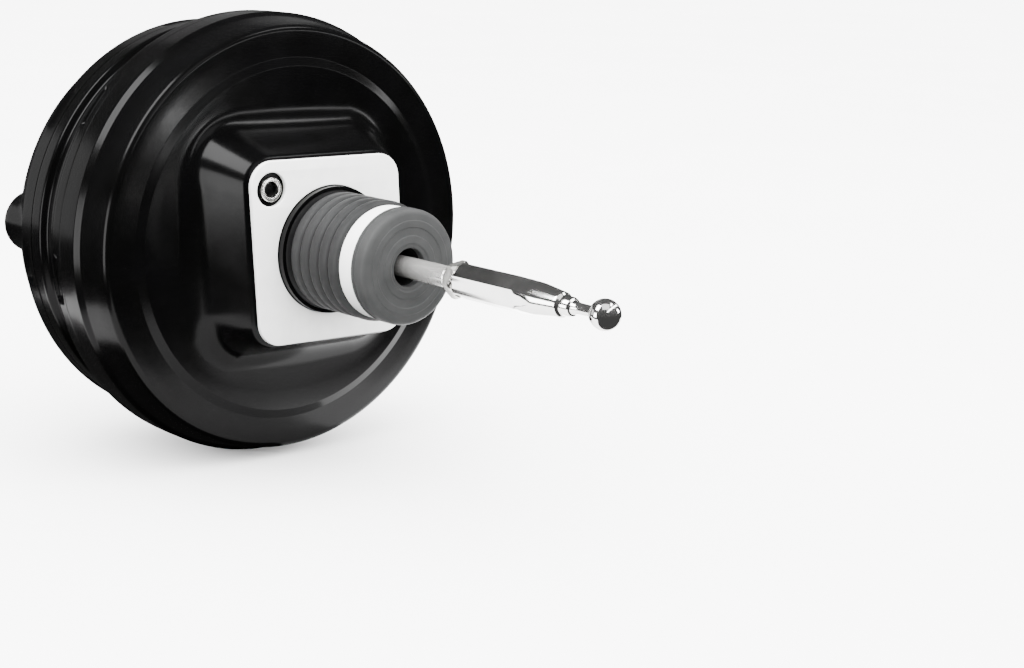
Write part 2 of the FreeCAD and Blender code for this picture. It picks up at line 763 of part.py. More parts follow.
def slanted_box(half_width, half_height, corner, inset):
    """Corners of an upright rounded rectangle, drawn in by an inset."""
    wide = "%s - (%s)" % (half_width, inset)
    high = "%s - (%s)" % (half_height, inset)
    edge = "%s - (%s)" % (corner, inset)
    return [("-(%s)" % wide, "-(%s)" % high, edge), (wide, "-(%s)" % high, edge),
            (wide, high, edge), ("-(%s)" % wide, high, edge)]


def tie_tubes():
    """Hollow tie rods from the rear pad to the studs on the front pad."""
    inner_face = "plate_thick + wall"
    shoulder = inner_face + " + gasket_thick"
    flange = "front_pad_face + front_gasket_thick"
    corners = [
        ("tube_bore", "0"),
        ("tube_rear_radius", "0", "0.5"),
        ("tube_rear_radius", "tube_rear_reach - 2.4"),
        ("tube_radius", "tube_rear_reach - 1"),
        ("tube_radius", shoulder),
        ("tube_shoulder_radius", shoulder),
        ("tube_shoulder_radius", shoulder + " + tube_shoulder_thick"),
        ("tube_radius", shoulder + " + tube_shoulder_thick"),
        ("tube_radius", flange),
        ("tube_flange_radius", flange),
        ("tube_flange_radius", flange + " + tube_flange_thick", "0.8"),
        ("tube_radius", flange + " + tube_flange_thick"),
        ("tube_radius", "front_pad_face + tube_stand", "1"),
        ("tube_bore", "front_pad_face + tube_stand"),
    ]
    for name, upper in (("upper_tie_tube", True), ("lower_tie_tube", False)):
        keep(at_tube(turned(name, corners), upper))
    keep(tube_pair("rear_tube_gaskets", [
        ("tube_radius + slide_gap", inner_face),
        ("tube_shoulder_radius", inner_face),
        ("tube_shoulder_radius", shoulder),
        ("tube_radius + slide_gap", shoulder),
    ]))
    keep(tube_pair("front_tube_gaskets", [
        ("tube_radius + slide_gap", "front_pad_face"),
        ("tube_flange_radius", "front_pad_face"),
        ("tube_flange_radius", flange),
        ("tube_radius + slide_gap", flange),
    ]))


def neck_pieces():
    """Plastic guide, lip seal and retainer that carry the valve body in the neck."""
    bearing_end = "plate_thick + bearing_length"
    seal_end = bearing_end + " + neck_seal_length"
    outer = "neck_radius - wall"
    ring("neck_bearing", "tail_radius + slide_gap", outer, "plate_thick", bearing_end, "0.6")
    keep(turned("neck_seal", [
        ("tail_radius + slide_gap", bearing_end),
        (outer, bearing_end),
        (outer, seal_end),
        (outer + " - 2", seal_end),
        (outer + " - 2", bearing_end + " + 3", "0.6"),
        ("tail_radius + 2", bearing_end + " + 3", "0.6"),
        ("tail_radius + 2", seal_end + " - 1"),
        ("tail_radius + slide_gap", seal_end + " - 1"),
    ]))
    keep(turned("neck_retainer", [
        ("tail_radius + 3", seal_end),
        (outer, seal_end),
        (outer, seal_end + " + neck_retainer_thick", "0.6"),
        ("tail_radius + 3", seal_end + " + neck_retainer_thick"),
    ]))


def partition():
    """Wall between the two chambers, its rim seated on the inside of the centre shell's waist."""
    front = "centre_band_end"
    back = front + " - partition_thick"
    seat = "centre_waist_radius - wall - 1"
    ring_edge = "partition_ring + partition_ring_step"
    ring_face = back + " - partition_ring_step"
    body = turned("partition", [
        ("partition_hole", back + " - 6"),
        ("partition_hole + partition_thick", back + " - 6"),
        ("partition_hole + partition_thick", back, "1"),
        ("partition_ring", back, "3"),
        (ring_edge, ring_face, "3"),
        (seat, ring_face, "3"),
        (seat + " + 4", back, "2"),
        ("centre_band_radius - wall - lap_gap", back),
        ("centre_band_radius - wall - lap_gap", front + " - 0.2"),
        (seat + " + 2.6", front + " - 0.2", "3"),
        (seat + " - 1.4", ring_face + " + partition_thick", "3"),
        (ring_edge + " + 1.4", ring_face + " + partition_thick", "3"),
        ("partition_ring + 1.4", front, "3"),
        ("partition_hole", front, "2"),
    ])
    tube_holes(body, "tube_seal_radius", back + " - 1", "partition_thick + 2")
    keep(body)
    keep(tube_pair("partition_grommets", [
        ("tube_radius + slide_gap", back + " - 2.5"),
        ("tube_seal_radius + 2", back + " - 2.5", "1"),
        ("tube_seal_radius + 2", back),
        ("tube_seal_radius", back),
        ("tube_seal_radius", front),
        ("tube_seal_radius + 2", front),
        ("tube_seal_radius + 2", front + " + 2.5", "1"),
        ("tube_radius + slide_gap", front + " + 2.5"),
    ]))
    keep(turned("centre_seal", [
        ("hub_radius + slide_gap", back + " - 6"),
        ("partition_hole", back + " - 6"),
        ("partition_hole", front),
        ("partition_hole + seal_flange", front),
        ("partition_hole + seal_flange", front + " + 2", "0.8"),
        ("hub_radius + slide_gap", front + " + 2"),
    ]))
    ring("centre_seal_clip", "partition_hole - 2", "partition_hole + seal_flange",
         front + " + 2", front + " + 3.2")


def valve_body():
    """Moulded hub that carries both piston plates, its tail running back through the neck."""
    body = new_body("valve_body")
    turn(body, [
        ("tail_bore", "-tail_end"),
        ("tail_flange_radius", "-tail_end", "0.8"),
        ("tail_flange_radius", "tail_flange_length - tail_end", "0.8"),
        ("tail_radius", "tail_flange_length - tail_end"),
        ("tail_radius", "hub_start - 3"),
        ("hub_radius", "hub_start", "0.8"),
        ("hub_radius", "hub_flange"),
        ("hub_flange_radius", "hub_flange", "0.8"),
        ("hub_flange_radius", "hub_flange + 4", "0.8"),
        ("hub_radius", "hub_flange + 4"),
        ("hub_radius", "hub_nose"),
        ("hub_nose_radius", "hub_nose"),
        ("hub_nose_radius", "hub_end", "1"),
        ("disc_radius + 0.2", "hub_end"),
        ("disc_radius + 0.2", "disc_seat"),
        ("plunger_radius + slide_gap", "disc_seat"),
        ("plunger_radius + slide_gap", "valve_floor + 5"),
        ("vacuum_seat_radius - seat_width", "valve_floor + 5"),
        ("vacuum_seat_radius - seat_width", "poppet_face + seat_gap"),
        ("vacuum_seat_radius", "poppet_face + seat_gap"),
        ("vacuum_seat_radius", "valve_floor"),
        ("valve_bore", "valve_floor"),
        ("valve_bore", "-tail_bore_end"),
        ("tail_bore", "-tail_bore_end"),
    ])
    passage = draw_outline(new_sketch(body, "passage_outline", "XZ_Plane", "valve_floor - 1"), [
        ("-4", "-vacuum_seat_radius - 5.2", "1"), ("4", "-vacuum_seat_radius - 5.2", "1"),
        ("4", "-vacuum_seat_radius - 1.6", "1"), ("-4", "-vacuum_seat_radius - 1.6", "1"),
    ])
    passage_cut = straight(body, passage, "hub_end + 2 - valve_floor", cut=True, title="passage")
    repeat(body, passage_cut, "3", "passages")
    slot = draw_outline(new_sketch(body, "key_slot_outline", "XZ_Plane", "key_place - fit_gap"), [
        ("-key_width / 2 - fit_gap", "-groove_radius - 1.5"),
        ("key_width / 2 + fit_gap", "-groove_radius - 1.5"),
        ("key_width / 2 + fit_gap", "hub_flange_radius"),
        ("-key_width / 2 - fit_gap", "hub_flange_radius"),
    ])
    straight(body, slot, "key_thick + 2 * fit_gap", cut=True, title="key_slot")
    return keep(body)


def piston_plate(name, hub, face, outer):
    """Pressed plate with a stiffening step and a lip turned forward; the sheet is plate_sheet."""
    step = "plate_ring_radius"
    body = turned(name, [
        (hub, face),
        (step, face, "3"),
        (step + " + 4", face + " + plate_ring_step", "3"),
        (outer + " - 12", face + " + plate_ring_step", "3"),
        (outer + " - 8", face, "3"),
        (outer, face, "3"),
        (outer, face + " + plate_lip"),
        (outer + " - plate_sheet", face + " + plate_lip"),
        (outer + " - plate_sheet", face + " + plate_sheet", "1"),
        (outer + " - 9", face + " + plate_sheet", "2"),
        (outer + " - 13", face + " + plate_ring_step + plate_sheet", "4"),
        (step + " + 3", face + " + plate_ring_step + plate_sheet", "4"),
        (step + " - 1", face + " + plate_sheet", "2"),
        (hub, face + " + plate_sheet"),
    ])
    tube_holes(body, "tube_seal_radius", face + " - 1", "plate_sheet + 2")
    return keep(body)


def diaphragm(name, hub, web, edge, fold, bead_start, bead_outer):
    """Rubber membrane: flat web on the plate, rolling fold, and the bead held in the shell joint."""
    front = web + " + membrane"
    roll = web + " + fold_depth"
    body = turned(name, [
        (hub, web),
        (edge + " + membrane", web, "1.5"),
        (edge + " + membrane", roll + " - membrane", "1.5"),
        (fold + " + membrane", roll + " - membrane", "1.5"),
        (fold + " + membrane", bead_start, "1.5"),
        (bead_outer, bead_start, "1"),
        (bead_outer, bead_start + " + bead_depth"),
        (bead_outer + " - bead_width", bead_start + " + bead_depth", "1"),
        (bead_outer + " - bead_width", bead_start + " + membrane"),
        (fold, bead_start + " + membrane", "1.5"),
        (fold, roll, "1.5"),
        (edge, roll, "1.5"),
        (edge, front),
        (hub, front),
    ])
    tube_holes(body, "tube_seal_radius", web + " - 1", "membrane + 2")
    return keep(body)


def plate_seals(name, web):
    """Grommets that seal a piston plate on both tie tubes and slide on them."""
    back = web
    front = web + " + membrane + plate_sheet"
    keep(tube_pair(name, [
        ("tube_radius + slide_gap", back + " - 2"),
        ("tube_seal_radius + 2", back + " - 2", "0.8"),
        ("tube_seal_radius + 2", back),
        ("tube_seal_radius", back),
        ("tube_seal_radius", front),
        ("tube_seal_radius + 2", front),
        ("tube_seal_radius + 2", front + " + 2.5", "0.8"),
        ("tube_radius + slide_gap", front + " + 2.5"),
    ]))


def power_piston():
    """Plates, diaphragms and their rings on the hub."""
    valve_body()
    rear_face = "rear_web + membrane"
    front_web = "hub_nose"
    front_face = front_web + " + membrane"
    piston_plate("rear_piston_plate", "hub_radius", rear_face, "rear_plate_radius")
    piston_plate("front_piston_plate", "hub_nose_radius", front_face, "front_plate_radius")
    diaphragm("rear_diaphragm", "hub_radius", "rear_web", "rear_plate_radius", "rear_fold_radius",
              "rear_seam - rear_lip_reach - bead_depth", "rim_radius - wall")
    diaphragm("front_diaphragm", "hub_nose_radius", front_web, "front_plate_radius",
              "front_fold_radius", "front_seam + front_lip_reach", "front_rim_radius - wall")
    plate_seals("rear_plate_seals", "rear_web")
    plate_seals("front_plate_seals", front_web)
    ring("rear_lock_ring", "hub_radius", "lock_ring_radius", "rear_web - lock_ring_thick",
         "rear_web", "0.5")
    ring("front_lock_ring", "hub_nose_radius", "hub_nose_radius + nose_ring_width",
         front_face + " + plate_sheet", front_face + " + plate_sheet + lock_ring_thick")
    disc_end = "disc_seat + disc_thick"
    keep(turned("reaction_disc", [
        ("0", "disc_seat"), ("disc_radius", "disc_seat", "1"),
        ("disc_radius", disc_end, "1"), ("0", disc_end),
    ]))
    head_end = disc_end + " + output_head_thick"
    keep(turned("output_rod", [
        ("0", disc_end),
        ("disc_radius", disc_end),
        ("disc_radius", head_end, "0.6"),
        ("output_radius", head_end, "1"),
        ("output_radius", "output_end - 14", "1"),
        ("output_radius - 1", "output_end - 13", "1"),
        ("output_radius - 1", "output_end", "3.4"),
        ("0", "output_end"),
    ]))
    ring("output_rod_retainer", "output_radius + 1.2", "disc_radius + 0.2", head_end,
         head_end + " + output_retainer_thick", "0.4")


def valve_train():
    """Plunger, key, poppet valve with its retainer, and the ball-ended input rod."""
    plunger = new_body("valve_plunger")
    mouth = "plunger_head"
    turn(plunger, [
        ("pivot_radius - 0.6", mouth),
        ("plunger_head_radius", mouth, "0.5"),
        ("plunger_head_radius", mouth + " + plunger_head_thick", "0.5"),
        ("plunger_radius", mouth + " + plunger_head_thick"),
        ("plunger_radius", "key_place - fit_gap - valve_travel"),
        ("groove_radius", "key_place - fit_gap - valve_travel"),
        ("groove_radius", "key_place + key_thick + fit_gap"),
        ("plunger_radius", "key_place + key_thick + fit_gap"),
        ("plunger_radius", "plunger_nose", "1"),
        ("0", "plunger_nose"),
        ("0", "pivot + pivot_radius + 3"),
        ("pivot_radius + slide_gap", "pivot + 3"),
        ("pivot_radius + slide_gap", "pivot - 3"),
        ("pivot_radius - 0.6", "pivot - 5"),
    ])
    keep(plunger)
    key = new_body("valve_key")
    fork = "groove_radius + fit_gap"
    outline = draw_outline(new_sketch(key, "key_outline", "XZ_Plane", "key_place"), [
        ("-key_width / 2", "-groove_radius", "1"),
        ("-(%s)" % fork, "-groove_radius", "0.8"),
        ("-(%s)" % fork, fork),
        (fork, fork),
        (fork, "-groove_radius", "0.8"),
        ("key_width / 2", "-groove_radius", "1"),
        ("key_width / 2", "hub_radius - 3", "2"),
        ("-key_width / 2", "hub_radius - 3", "2"),
    ])
    straight(key, outline, "key_thick", title="key_pad")
    keep(key)
    lip_back = "poppet_face - poppet_lip_thick"
    keep(turned("poppet_valve", [
        ("poppet_bore", lip_back),
        ("poppet_radius - 5.5", lip_back),
        ("poppet_radius - 5.5", "-poppet_root + 5"),
        ("valve_bore - 2.6", "-poppet_root + 5"),
        ("valve_bore - 2.6", "-poppet_root - 1"),
        ("valve_bore", "-poppet_root - 1"),
        ("valve_bore", "-poppet_root + 6.2", "0.8"),
        ("poppet_radius - 4", "-poppet_root + 6.2"),
        ("poppet_radius - 4", lip_back),
        ("poppet_radius", lip_back, "0.6"),
        ("poppet_radius", "poppet_face"),
        ("poppet_bore", "poppet_face"),
    ]))
    keep(turned("poppet_retainer", [
        ("poppet_bore + 0.8", "-poppet_root - 3"),
        ("valve_bore", "-poppet_root - 3"),
        ("valve_bore", "-poppet_root - 1"),
        ("valve_bore - 2.6", "-poppet_root - 1"),
        ("valve_bore - 2.6", "-poppet_root + 2"),
        ("valve_bore - 4", "-poppet_root + 2"),
        ("valve_bore - 4", "-poppet_root - 1"),
        ("poppet_bore + 0.8", "-poppet_root - 1"),
    ]))
    keep(turned("input_rod", [
        ("0", "-rod_end"),
        ("rod_radius - 1.2", "-rod_end"),
        ("rod_radius - 0.2", "-rod_end + 1"),
        ("rod_radius - 0.2", "-nut_place + 4"),
        ("rod_radius", "-nut_place + 5"),
        ("rod_radius", "-rod_shoulder - 2"),
        ("rod_radius + 1.4", "-rod_shoulder - 1"),
        ("rod_radius + 1.4", "-rod_shoulder + 1"),
        ("rod_neck_radius", "-rod_shoulder + 4"),
        ("rod_neck_radius", "pivot - sqrt(pivot_radius ^ 2 - rod_neck_radius ^ 2)"),
        ("pivot_radius - 0.4", "pivot - 2.4", "1.6"),
        ("pivot_radius", "pivot", "3"),
        ("pivot_radius - 0.4", "pivot + 2.4", "1.6"),
        ("2.8", "pivot + pivot_radius - 0.6", "1"),
        ("0", "pivot + pivot_radius"),
    ]))
    ring("rod_spring_seat", "rod_radius + 0.1", "poppet_bore + 1.6", "-rod_shoulder - 3.6",
         "-rod_shoulder - 2")


def hexagon(flats, turned):
    """Corners of a hexagon across flats, turned from where it has flats left and right."""
    corners = []
    for angle in range(30, 390, 60):
        place = "%s / 2 / cos(30) * %%s(%d + %s)" % (flats, angle, turned)
        corners.append((place % "cos", place % "sin"))
    return corners


def chamfer_ends(body, corner, start, end, slope, title):
    """Turn the ends of a hexagonal bar down to cones, as on a nut."""
    low = "%s - %s * 0.9" % (corner, slope)
    turn(body, [
        (low, start), (corner + " + 1", start),
        (corner + " + 1", start + " + (%s) * 0.6" % slope + " + 0.6"),
    ], cut=True, title=title + "_start")
    turn(body, [
        (low, end), (corner + " + 1", end + " - (%s) * 0.6" % slope + " - 0.6"),
        (corner + " + 1", end),
    ], cut=True, title=title + "_end")


def rod_end_pieces():
    """Lock nut and ball sleeve on the rod's thread."""
    nut = new_body("lock_nut")
    start = "-nut_place - nut_thick"
    outline = draw_outline(new_sketch(nut, "nut_outline", "XZ_Plane", "-nut_place"),
                           hexagon("nut_flats", "nut_turn"))
    straight(nut, outline, "nut_thick", forward=False, title="nut_hexagon")
    bore = draw_circles(new_sketch(nut, "nut_bore_outline", "XZ_Plane", "-nut_place + 1"),
                        [("0", "0", "rod_radius - 0.2 + slide_gap")])
    straight(nut, bore, "nut_thick + 2", cut=True, forward=False, title="nut_bore")
    chamfer_ends(nut, "nut_flats / 2 / cos(30)", start, "-nut_place", "1.2", "nut_cone")
    keep(nut)
    sleeve = new_body("ball_sleeve")
    outline = draw_outline(new_sketch(sleeve, "sleeve_outline", "XZ_Plane", start),
                           hexagon("sleeve_flats", "sleeve_turn"))
    straight(sleeve, outline, "sleeve_cone_end - nut_place - nut_thick", forward=False,
             title="sleeve_hexagon")
    point = "sleeve_flats / 2 / cos(30)"
    turn(sleeve, [
        ("sleeve_cone_radius", "-sleeve_cone_end - 1"),
        (point + " + 2", "-sleeve_cone_end - 1"),
        (point + " + 2", "-sleeve_hex_end"),
        (point, "-sleeve_hex_end"),
        ("sleeve_cone_radius", "-sleeve_cone_end"),
    ], cut=True, title="sleeve_cone")
    turn(sleeve, [
        (point + " - 1.2", start),
        (point + " + 1", start + " - 1.6"),
        (point + " + 1", start),
    ], cut=True, title="sleeve_mouth")
    turn(sleeve, [
        ("0", "-sleeve_collar_end - 14"),
        ("ball_neck_radius", "-sleeve_collar_end - 14"),
        ("ball_neck_radius", "-sleeve_collar_end - 1.5", "1"),
        ("sleeve_collar_radius", "-sleeve_collar_end", "1"),
        ("sleeve_collar_radius + 0.6", "-sleeve_cone_end - 2"),
        ("sleeve_cone_radius", "-sleeve_cone_end"),
        ("sleeve_cone_radius", "-sleeve_cone_end + 2"),
        ("0", "-sleeve_cone_end + 2"),
    ], title="sleeve_neck")
    bore = draw_circles(new_sketch(sleeve, "sleeve_bore_outline", "XZ_Plane", start + " + 1"),
                        [("0", "0", "rod_radius - 0.2 + slide_gap")])
    straight(sleeve, bore, "rod_end - nut_place - nut_thick + 4", cut=True, forward=False,
             title="sleeve_bore")
    ball = sleeve.newObject("PartDesign::AdditiveSphere", "ball")
    ball.setExpression("Radius", bound("ball_radius"))
    ball.setExpression("AttachmentOffset.Base.z", bound("ball_place"))
    ball.AttachmentSupport = (origin_plane(sleeve, "XZ_Plane"), [""])
    ball.MapMode = "FlatFace"
    doc.recompute()
    keep(sleeve)


def spring(name, coil, wire, turns, start, end):
    """Round wire wound round the axis between two seats, in short straight runs."""
    runs = int(size(turns) * size("coil_runs"))
    low = size("%s + %s" % (start, wire))
    high = size("%s - %s" % (end, wire))
    spots = []
    for i in range(runs + 1):
        angle = 2 * math.pi * i / size("coil_runs")
        place = low + (high - low) * i / runs
        spots.append(FreeCAD.Vector(size(coil) * math.cos(angle), place, size(coil) * math.sin(angle)))
    section = Part.Wire([Part.makeCircle(size(wire), spots[0], spots[1] - spots[0])])
    wound = doc.addObject("Part::Feature", name)
    wound.Shape = Part.makePolygon(spots).makePipeShell([section], True, False, 1)
    return keep(wound)


def springs():
    spring("return_spring", "return_coil", "return_wire", "return_turns",
           "hub_nose + membrane + plate_sheet", "front_pad_face - wall")
    spring("rod_return_spring", "rod_coil", "rod_wire", "rod_turns",
           "-rod_shoulder - 2", "-poppet_root - 3")
    spring("poppet_spring", "poppet_coil", "poppet_wire", "poppet_turns",
           "-poppet_root + 6.2", "poppet_face - poppet_lip_thick")


def boot():
    """Bellows between the neck and the tail of the valve body."""
    pitch = "(boot_end - boot_start) / boot_ribs"
    outside = []
    inside = []
    for i in range(int(size("boot_ribs"))):
        crest = "-boot_start - (%s) * %.1f" % (pitch, i + 0.5)
        groove = "-boot_start - (%s) * %.1f" % (pitch, i + 1)
        outside.append(("boot_crest", crest + " + 2.4", "1.2"))
        outside.append(("boot_crest", crest + " - 2.4", "1.2"))
        inside.append(("boot_crest - boot_wall", crest + " + 1.6", "0.6"))
        inside.append(("boot_crest - boot_wall", crest + " - 1.6", "0.6"))
        if i + 1 < size("boot_ribs"):
            outside.append(("boot_root + boot_wall", groove, "0.6"))
            inside.append(("boot_root", groove, "0.6"))
    start = [
        ("tail_radius + 1.4", "plate_thick - neck_height"),
        ("neck_radius - wall", "plate_thick - neck_height", "0.5"),
        ("neck_radius - wall", "-neck_height", "0.5"),
        ("boot_root + boot_wall + 2", "-neck_height - 0.6", "0.5"),
    ]
    finish = [
        ("band_radius - boot_wall + 0.2", "-boot_end + 0.4"),
        ("band_radius - boot_wall + 0.2", "-band_end"),
        ("tail_flange_radius", "-band_end"),
        ("tail_flange_radius", "-boot_end + 0.4"),
    ]
    keep(turned("dust_boot", start + outside + finish + inside[::-1]))
    ring("boot_band", "band_radius - boot_wall + 0.2", "band_radius", "-band_end", "-band_start", "0.5")
    keep(turned("end_cap", [
        ("cap_hole", "-tail_end"),
        ("tail_flange_radius", "-tail_end"),
        ("tail_flange_radius", "-band_end"),
        ("cap_radius", "-band_end", "0.8"),
        ("cap_radius", "-tail_end - 2", "cap_edge_round"),
        ("cap_hole + 9", "-cap_end", "3"),
        ("cap_hole + 5", "-cap_end", "1"),
        ("cap_hole + 4", "-cap_end + 0.8", "1"),
        ("cap_hole", "-cap_end + 0.8", "0.6"),
    ]))
    ring("silencer", "rod_radius + fit_gap", "tail_bore", "-tail_end", "-tail_end + 14")
    ring("air_filter", "rod_radius + fit_gap", "tail_bore", "-tail_end + 14", "-tail_bore_end - 2")


def port_pieces():
    """Rubber grommet in the vacuum port and the eyelet tag beside it."""
    floor = "side_pad_face - port_recess_depth"
    grommet = new_body("vacuum_grommet")
    turn_beside(grommet, "port_across", "port_up", [
        ("grommet_bore", floor + " + grommet_lip"),
        ("grommet_radius", floor + " + grommet_lip", "0.6"),
        ("grommet_radius", floor),
        ("port_hole_radius", floor),
        ("port_hole_radius", floor + " - wall"),
        ("grommet_radius - 0.4", floor + " - wall"),
        ("port_hole_radius", floor + " - wall - 4", "1"),
        ("grommet_bore", floor + " - wall - 4"),
    ], title="grommet_turn")
    keep(grommet)
    tag = new_body("port_tag")
    sketch = draw_circles(new_sketch(tag, "tag_ring_outline", "XZ_Plane", "side_pad_face"),
                          [("port_across", "port_up", "tag_ring_radius")])
    straight(tag, sketch, "tag_thick", title="tag_ring")
    stalk = new_sketch(tag, "tag_stalk_outline", "XZ_Plane", "side_pad_face")
    draw_outline(stalk, tag_strip())
    straight(tag, stalk, "tag_thick", title="tag_stalk")
    hole = draw_circles(new_sketch(tag, "tag_hole_outline", "XZ_Plane", "side_pad_face - 1"),
                        [("port_across", "port_up", "tag_hole_radius")])
    straight(tag, hole, "tag_thick + 2", cut=True, title="tag_hole")
    keep(tag)


def tag_strip():
    """Corners of the tag's strip, which leaves the ring outwards and down."""
    corners = []
    for along, side in (("8", "-1"), ("8", "1"), ("tag_reach", "1"), ("tag_reach", "-1")):
        across = "port_across + (%s) * cos(tag_turn) + (%s) * tag_width / 2 * sin(tag_turn)"
        up = "port_up - (%s) * sin(tag_turn) + (%s) * tag_width / 2 * cos(tag_turn)"
        corners.append((across % (along, side), up % (along, side)))
    return corners


rear_shell()
mounting_plate()
centre_shell()
front_shell()
tie_tubes()
neck_pieces()
partition()
power_piston()
valve_train()
rod_end_pieces()
springs()
boot()
port_pieces()
doc.recompute()

for piece in nodes:
    bad = [item.Name for item in doc.Objects if "Invalid" in item.State or "Error" in item.State]
    if bad:
        raise ValueError("failed objects: " + ", ".join(bad))
    if piece.Shape.isNull() or not piece.Shape.isValid():
        raise ValueError("bad shape: " + piece.Label)

os.makedirs("parts", exist_ok=True)
for piece in nodes:
    piece.Shape.exportStep("parts/" + piece.Label + ".step")
print("wrote", len(nodes), "pieces")
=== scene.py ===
import json
import math
import bmesh
import bpy
from mathutils import Matrix, Vector


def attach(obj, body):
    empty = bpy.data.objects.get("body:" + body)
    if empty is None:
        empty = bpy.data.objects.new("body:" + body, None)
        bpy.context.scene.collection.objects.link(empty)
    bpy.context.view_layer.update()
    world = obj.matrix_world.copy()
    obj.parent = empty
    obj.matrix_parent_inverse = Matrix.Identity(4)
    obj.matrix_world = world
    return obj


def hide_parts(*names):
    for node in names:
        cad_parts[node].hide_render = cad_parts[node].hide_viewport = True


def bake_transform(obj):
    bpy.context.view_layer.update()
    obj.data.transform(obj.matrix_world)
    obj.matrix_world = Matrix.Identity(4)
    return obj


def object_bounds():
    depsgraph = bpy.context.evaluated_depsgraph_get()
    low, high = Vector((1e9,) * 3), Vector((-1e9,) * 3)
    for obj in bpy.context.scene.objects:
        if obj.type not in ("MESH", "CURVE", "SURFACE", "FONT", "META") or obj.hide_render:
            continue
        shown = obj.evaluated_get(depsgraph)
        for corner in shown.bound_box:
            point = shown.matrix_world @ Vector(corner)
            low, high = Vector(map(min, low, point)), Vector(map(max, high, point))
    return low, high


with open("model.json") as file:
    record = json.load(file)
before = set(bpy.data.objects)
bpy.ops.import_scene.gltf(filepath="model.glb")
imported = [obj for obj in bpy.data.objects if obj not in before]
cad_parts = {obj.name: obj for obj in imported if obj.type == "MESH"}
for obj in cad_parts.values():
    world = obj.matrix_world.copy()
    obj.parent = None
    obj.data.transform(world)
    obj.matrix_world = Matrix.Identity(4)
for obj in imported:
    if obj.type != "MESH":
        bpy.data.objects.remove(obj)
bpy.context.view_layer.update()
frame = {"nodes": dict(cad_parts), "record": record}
scene = bpy.context.scene
mm = 0.001
print("frame loaded")


# Paths. A corner is (radius, place) or (radius, place, rounding), in millimetres.

def roundedPath(corners, closed=False, arcSteps=6, lineSteps=1):
    count = len(corners)
    groups = []
    for i, corner in enumerate(corners):
        here = Vector(corner[:2])
        isEnd = not closed and i in (0, count - 1)
        if len(corner) < 3 or isEnd:
            groups.append([here])
            continue
        back = Vector(corners[i - 1][:2]) - here
        ahead = Vector(corners[(i + 1) % count][:2]) - here
        half = back.angle(ahead) / 2
        reach = min(corner[2] / math.tan(half), 0.49 * back.length, 0.49 * ahead.length)
        radius = reach * math.tan(half)
        back.normalize()
        ahead.normalize()
        turned = math.pi - 2 * half
        if turned < 0.002:
            groups.append([here + (ahead - back) * 0.01 * (k - arcSteps / 2) for k in range(arcSteps + 1)])
            continue
        centre = here + (back + ahead).normalized() * (radius / math.sin(half))
        first = here + back * reach - centre
        last = here + ahead * reach - centre
        arc = []
        for k in range(arcSteps + 1):
            share = k / arcSteps
            aheadPart = math.sin(share * turned) / math.sin(turned)
            backPart = math.sin((1 - share) * turned) / math.sin(turned)
            arc.append(centre + first * backPart + last * aheadPart)
        groups.append(arc)
    points = []
    for i, group in enumerate(groups):
        points.extend(group)
        if i == count - 1 and not closed:
            break
        following = groups[(i + 1) % count][0]
        for k in range(1, lineSteps):
            points.append(group[-1].lerp(following, k / lineSteps))
    return points


# The other side of a sheet, as corners that lie one wall to the left of the path.
def innerCorners(corners, wall):
    result = []
    for i, corner in enumerate(corners):
        here = Vector(corner[:2])
        before = here - Vector(corners[i - 1][:2]) if i else None
        after = Vector(corners[i + 1][:2]) - here if i + 1 < len(corners) else None
        before = (before or after).normalized()
        after = (after or before).normalized()
        leftOfBefore = Vector((-before.y, before.x))
        leftOfAfter = Vector((-after.y, after.x))
        middle = (leftOfBefore + leftOfAfter).normalized()
        shift = middle * (wall / max(0.35, middle.dot(leftOfBefore)))
        turnsLeft = before.x * after.y - before.y * after.x > 0
        rounding = corner[2] if len(corner) > 2 else 0.1
        rounding = max(0.1, rounding + (-wall if turnsLeft else wall))
        result.append((here.x + shift.x, here.y + shift.y, rounding))
    return result


# Both sides of a sheet, as one closed section.
def sheetLoop(corners, wall, arcSteps, lineSteps):
    outside = roundedPath(corners, arcSteps=arcSteps, lineSteps=lineSteps)
    inside = roundedPath(innerCorners(corners, wall), arcSteps=arcSteps, lineSteps=lineSteps)
    return outside + inside[::-1]


# Meshes

def makeObject(name, mesh, material, body, sharpAngle=35):
    bmesh.ops.recalc_face_normals(mesh, faces=mesh.faces)
    data = bpy.data.meshes.new(name)
    mesh.to_mesh(data)
    mesh.free()
    data.shade_smooth()
    data.set_sharp_from_angle(angle=math.radians(sharpAngle))
    obj = bpy.data.objects.new(name, data)
    scene.collection.objects.link(obj)
    data.materials.append(material)
    if body:
        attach(obj, body)
    return obj


# A closed section swept round the booster's axis. It may change with the angle.
def addSwept(mesh, sectionAt, angles, centre=(0, 0)):
    rings = []
    for angle in angles:
        across, up = math.cos(angle), math.sin(angle)
        ring = []
        for radius, place in sectionAt(angle):
            spot = (centre[0] + radius * across, place, centre[1] + radius * up)
            ring.append(mesh.verts.new(Vector(spot) * mm))
        rings.append(ring)
    for i, ring in enumerate(rings):
        following = rings[(i + 1) % len(rings)]
        for j in range(len(ring)):
            k = (j + 1) % len(ring)
            mesh.faces.new((ring[j], ring[k], following[k], following[j]))


def evenAngles(count):
    return [2 * math.pi * i / count for i in range(count)]


# A closed section turned round an axis that lies along Y.
def lathe(name, corners, material, body, count=160, centre=(0, 0)):
    section = roundedPath(corners, closed=True, arcSteps=5)
    mesh = bmesh.new()
    addSwept(mesh, lambda angle: section, evenAngles(count), centre)
    bmesh.ops.remove_doubles(mesh, verts=mesh.verts, dist=1e-6)
    return makeObject(name, mesh, material, body)


# Materials

noiseSpan = (0.3, 0.7)  # the part of its range that a noise mostly fills

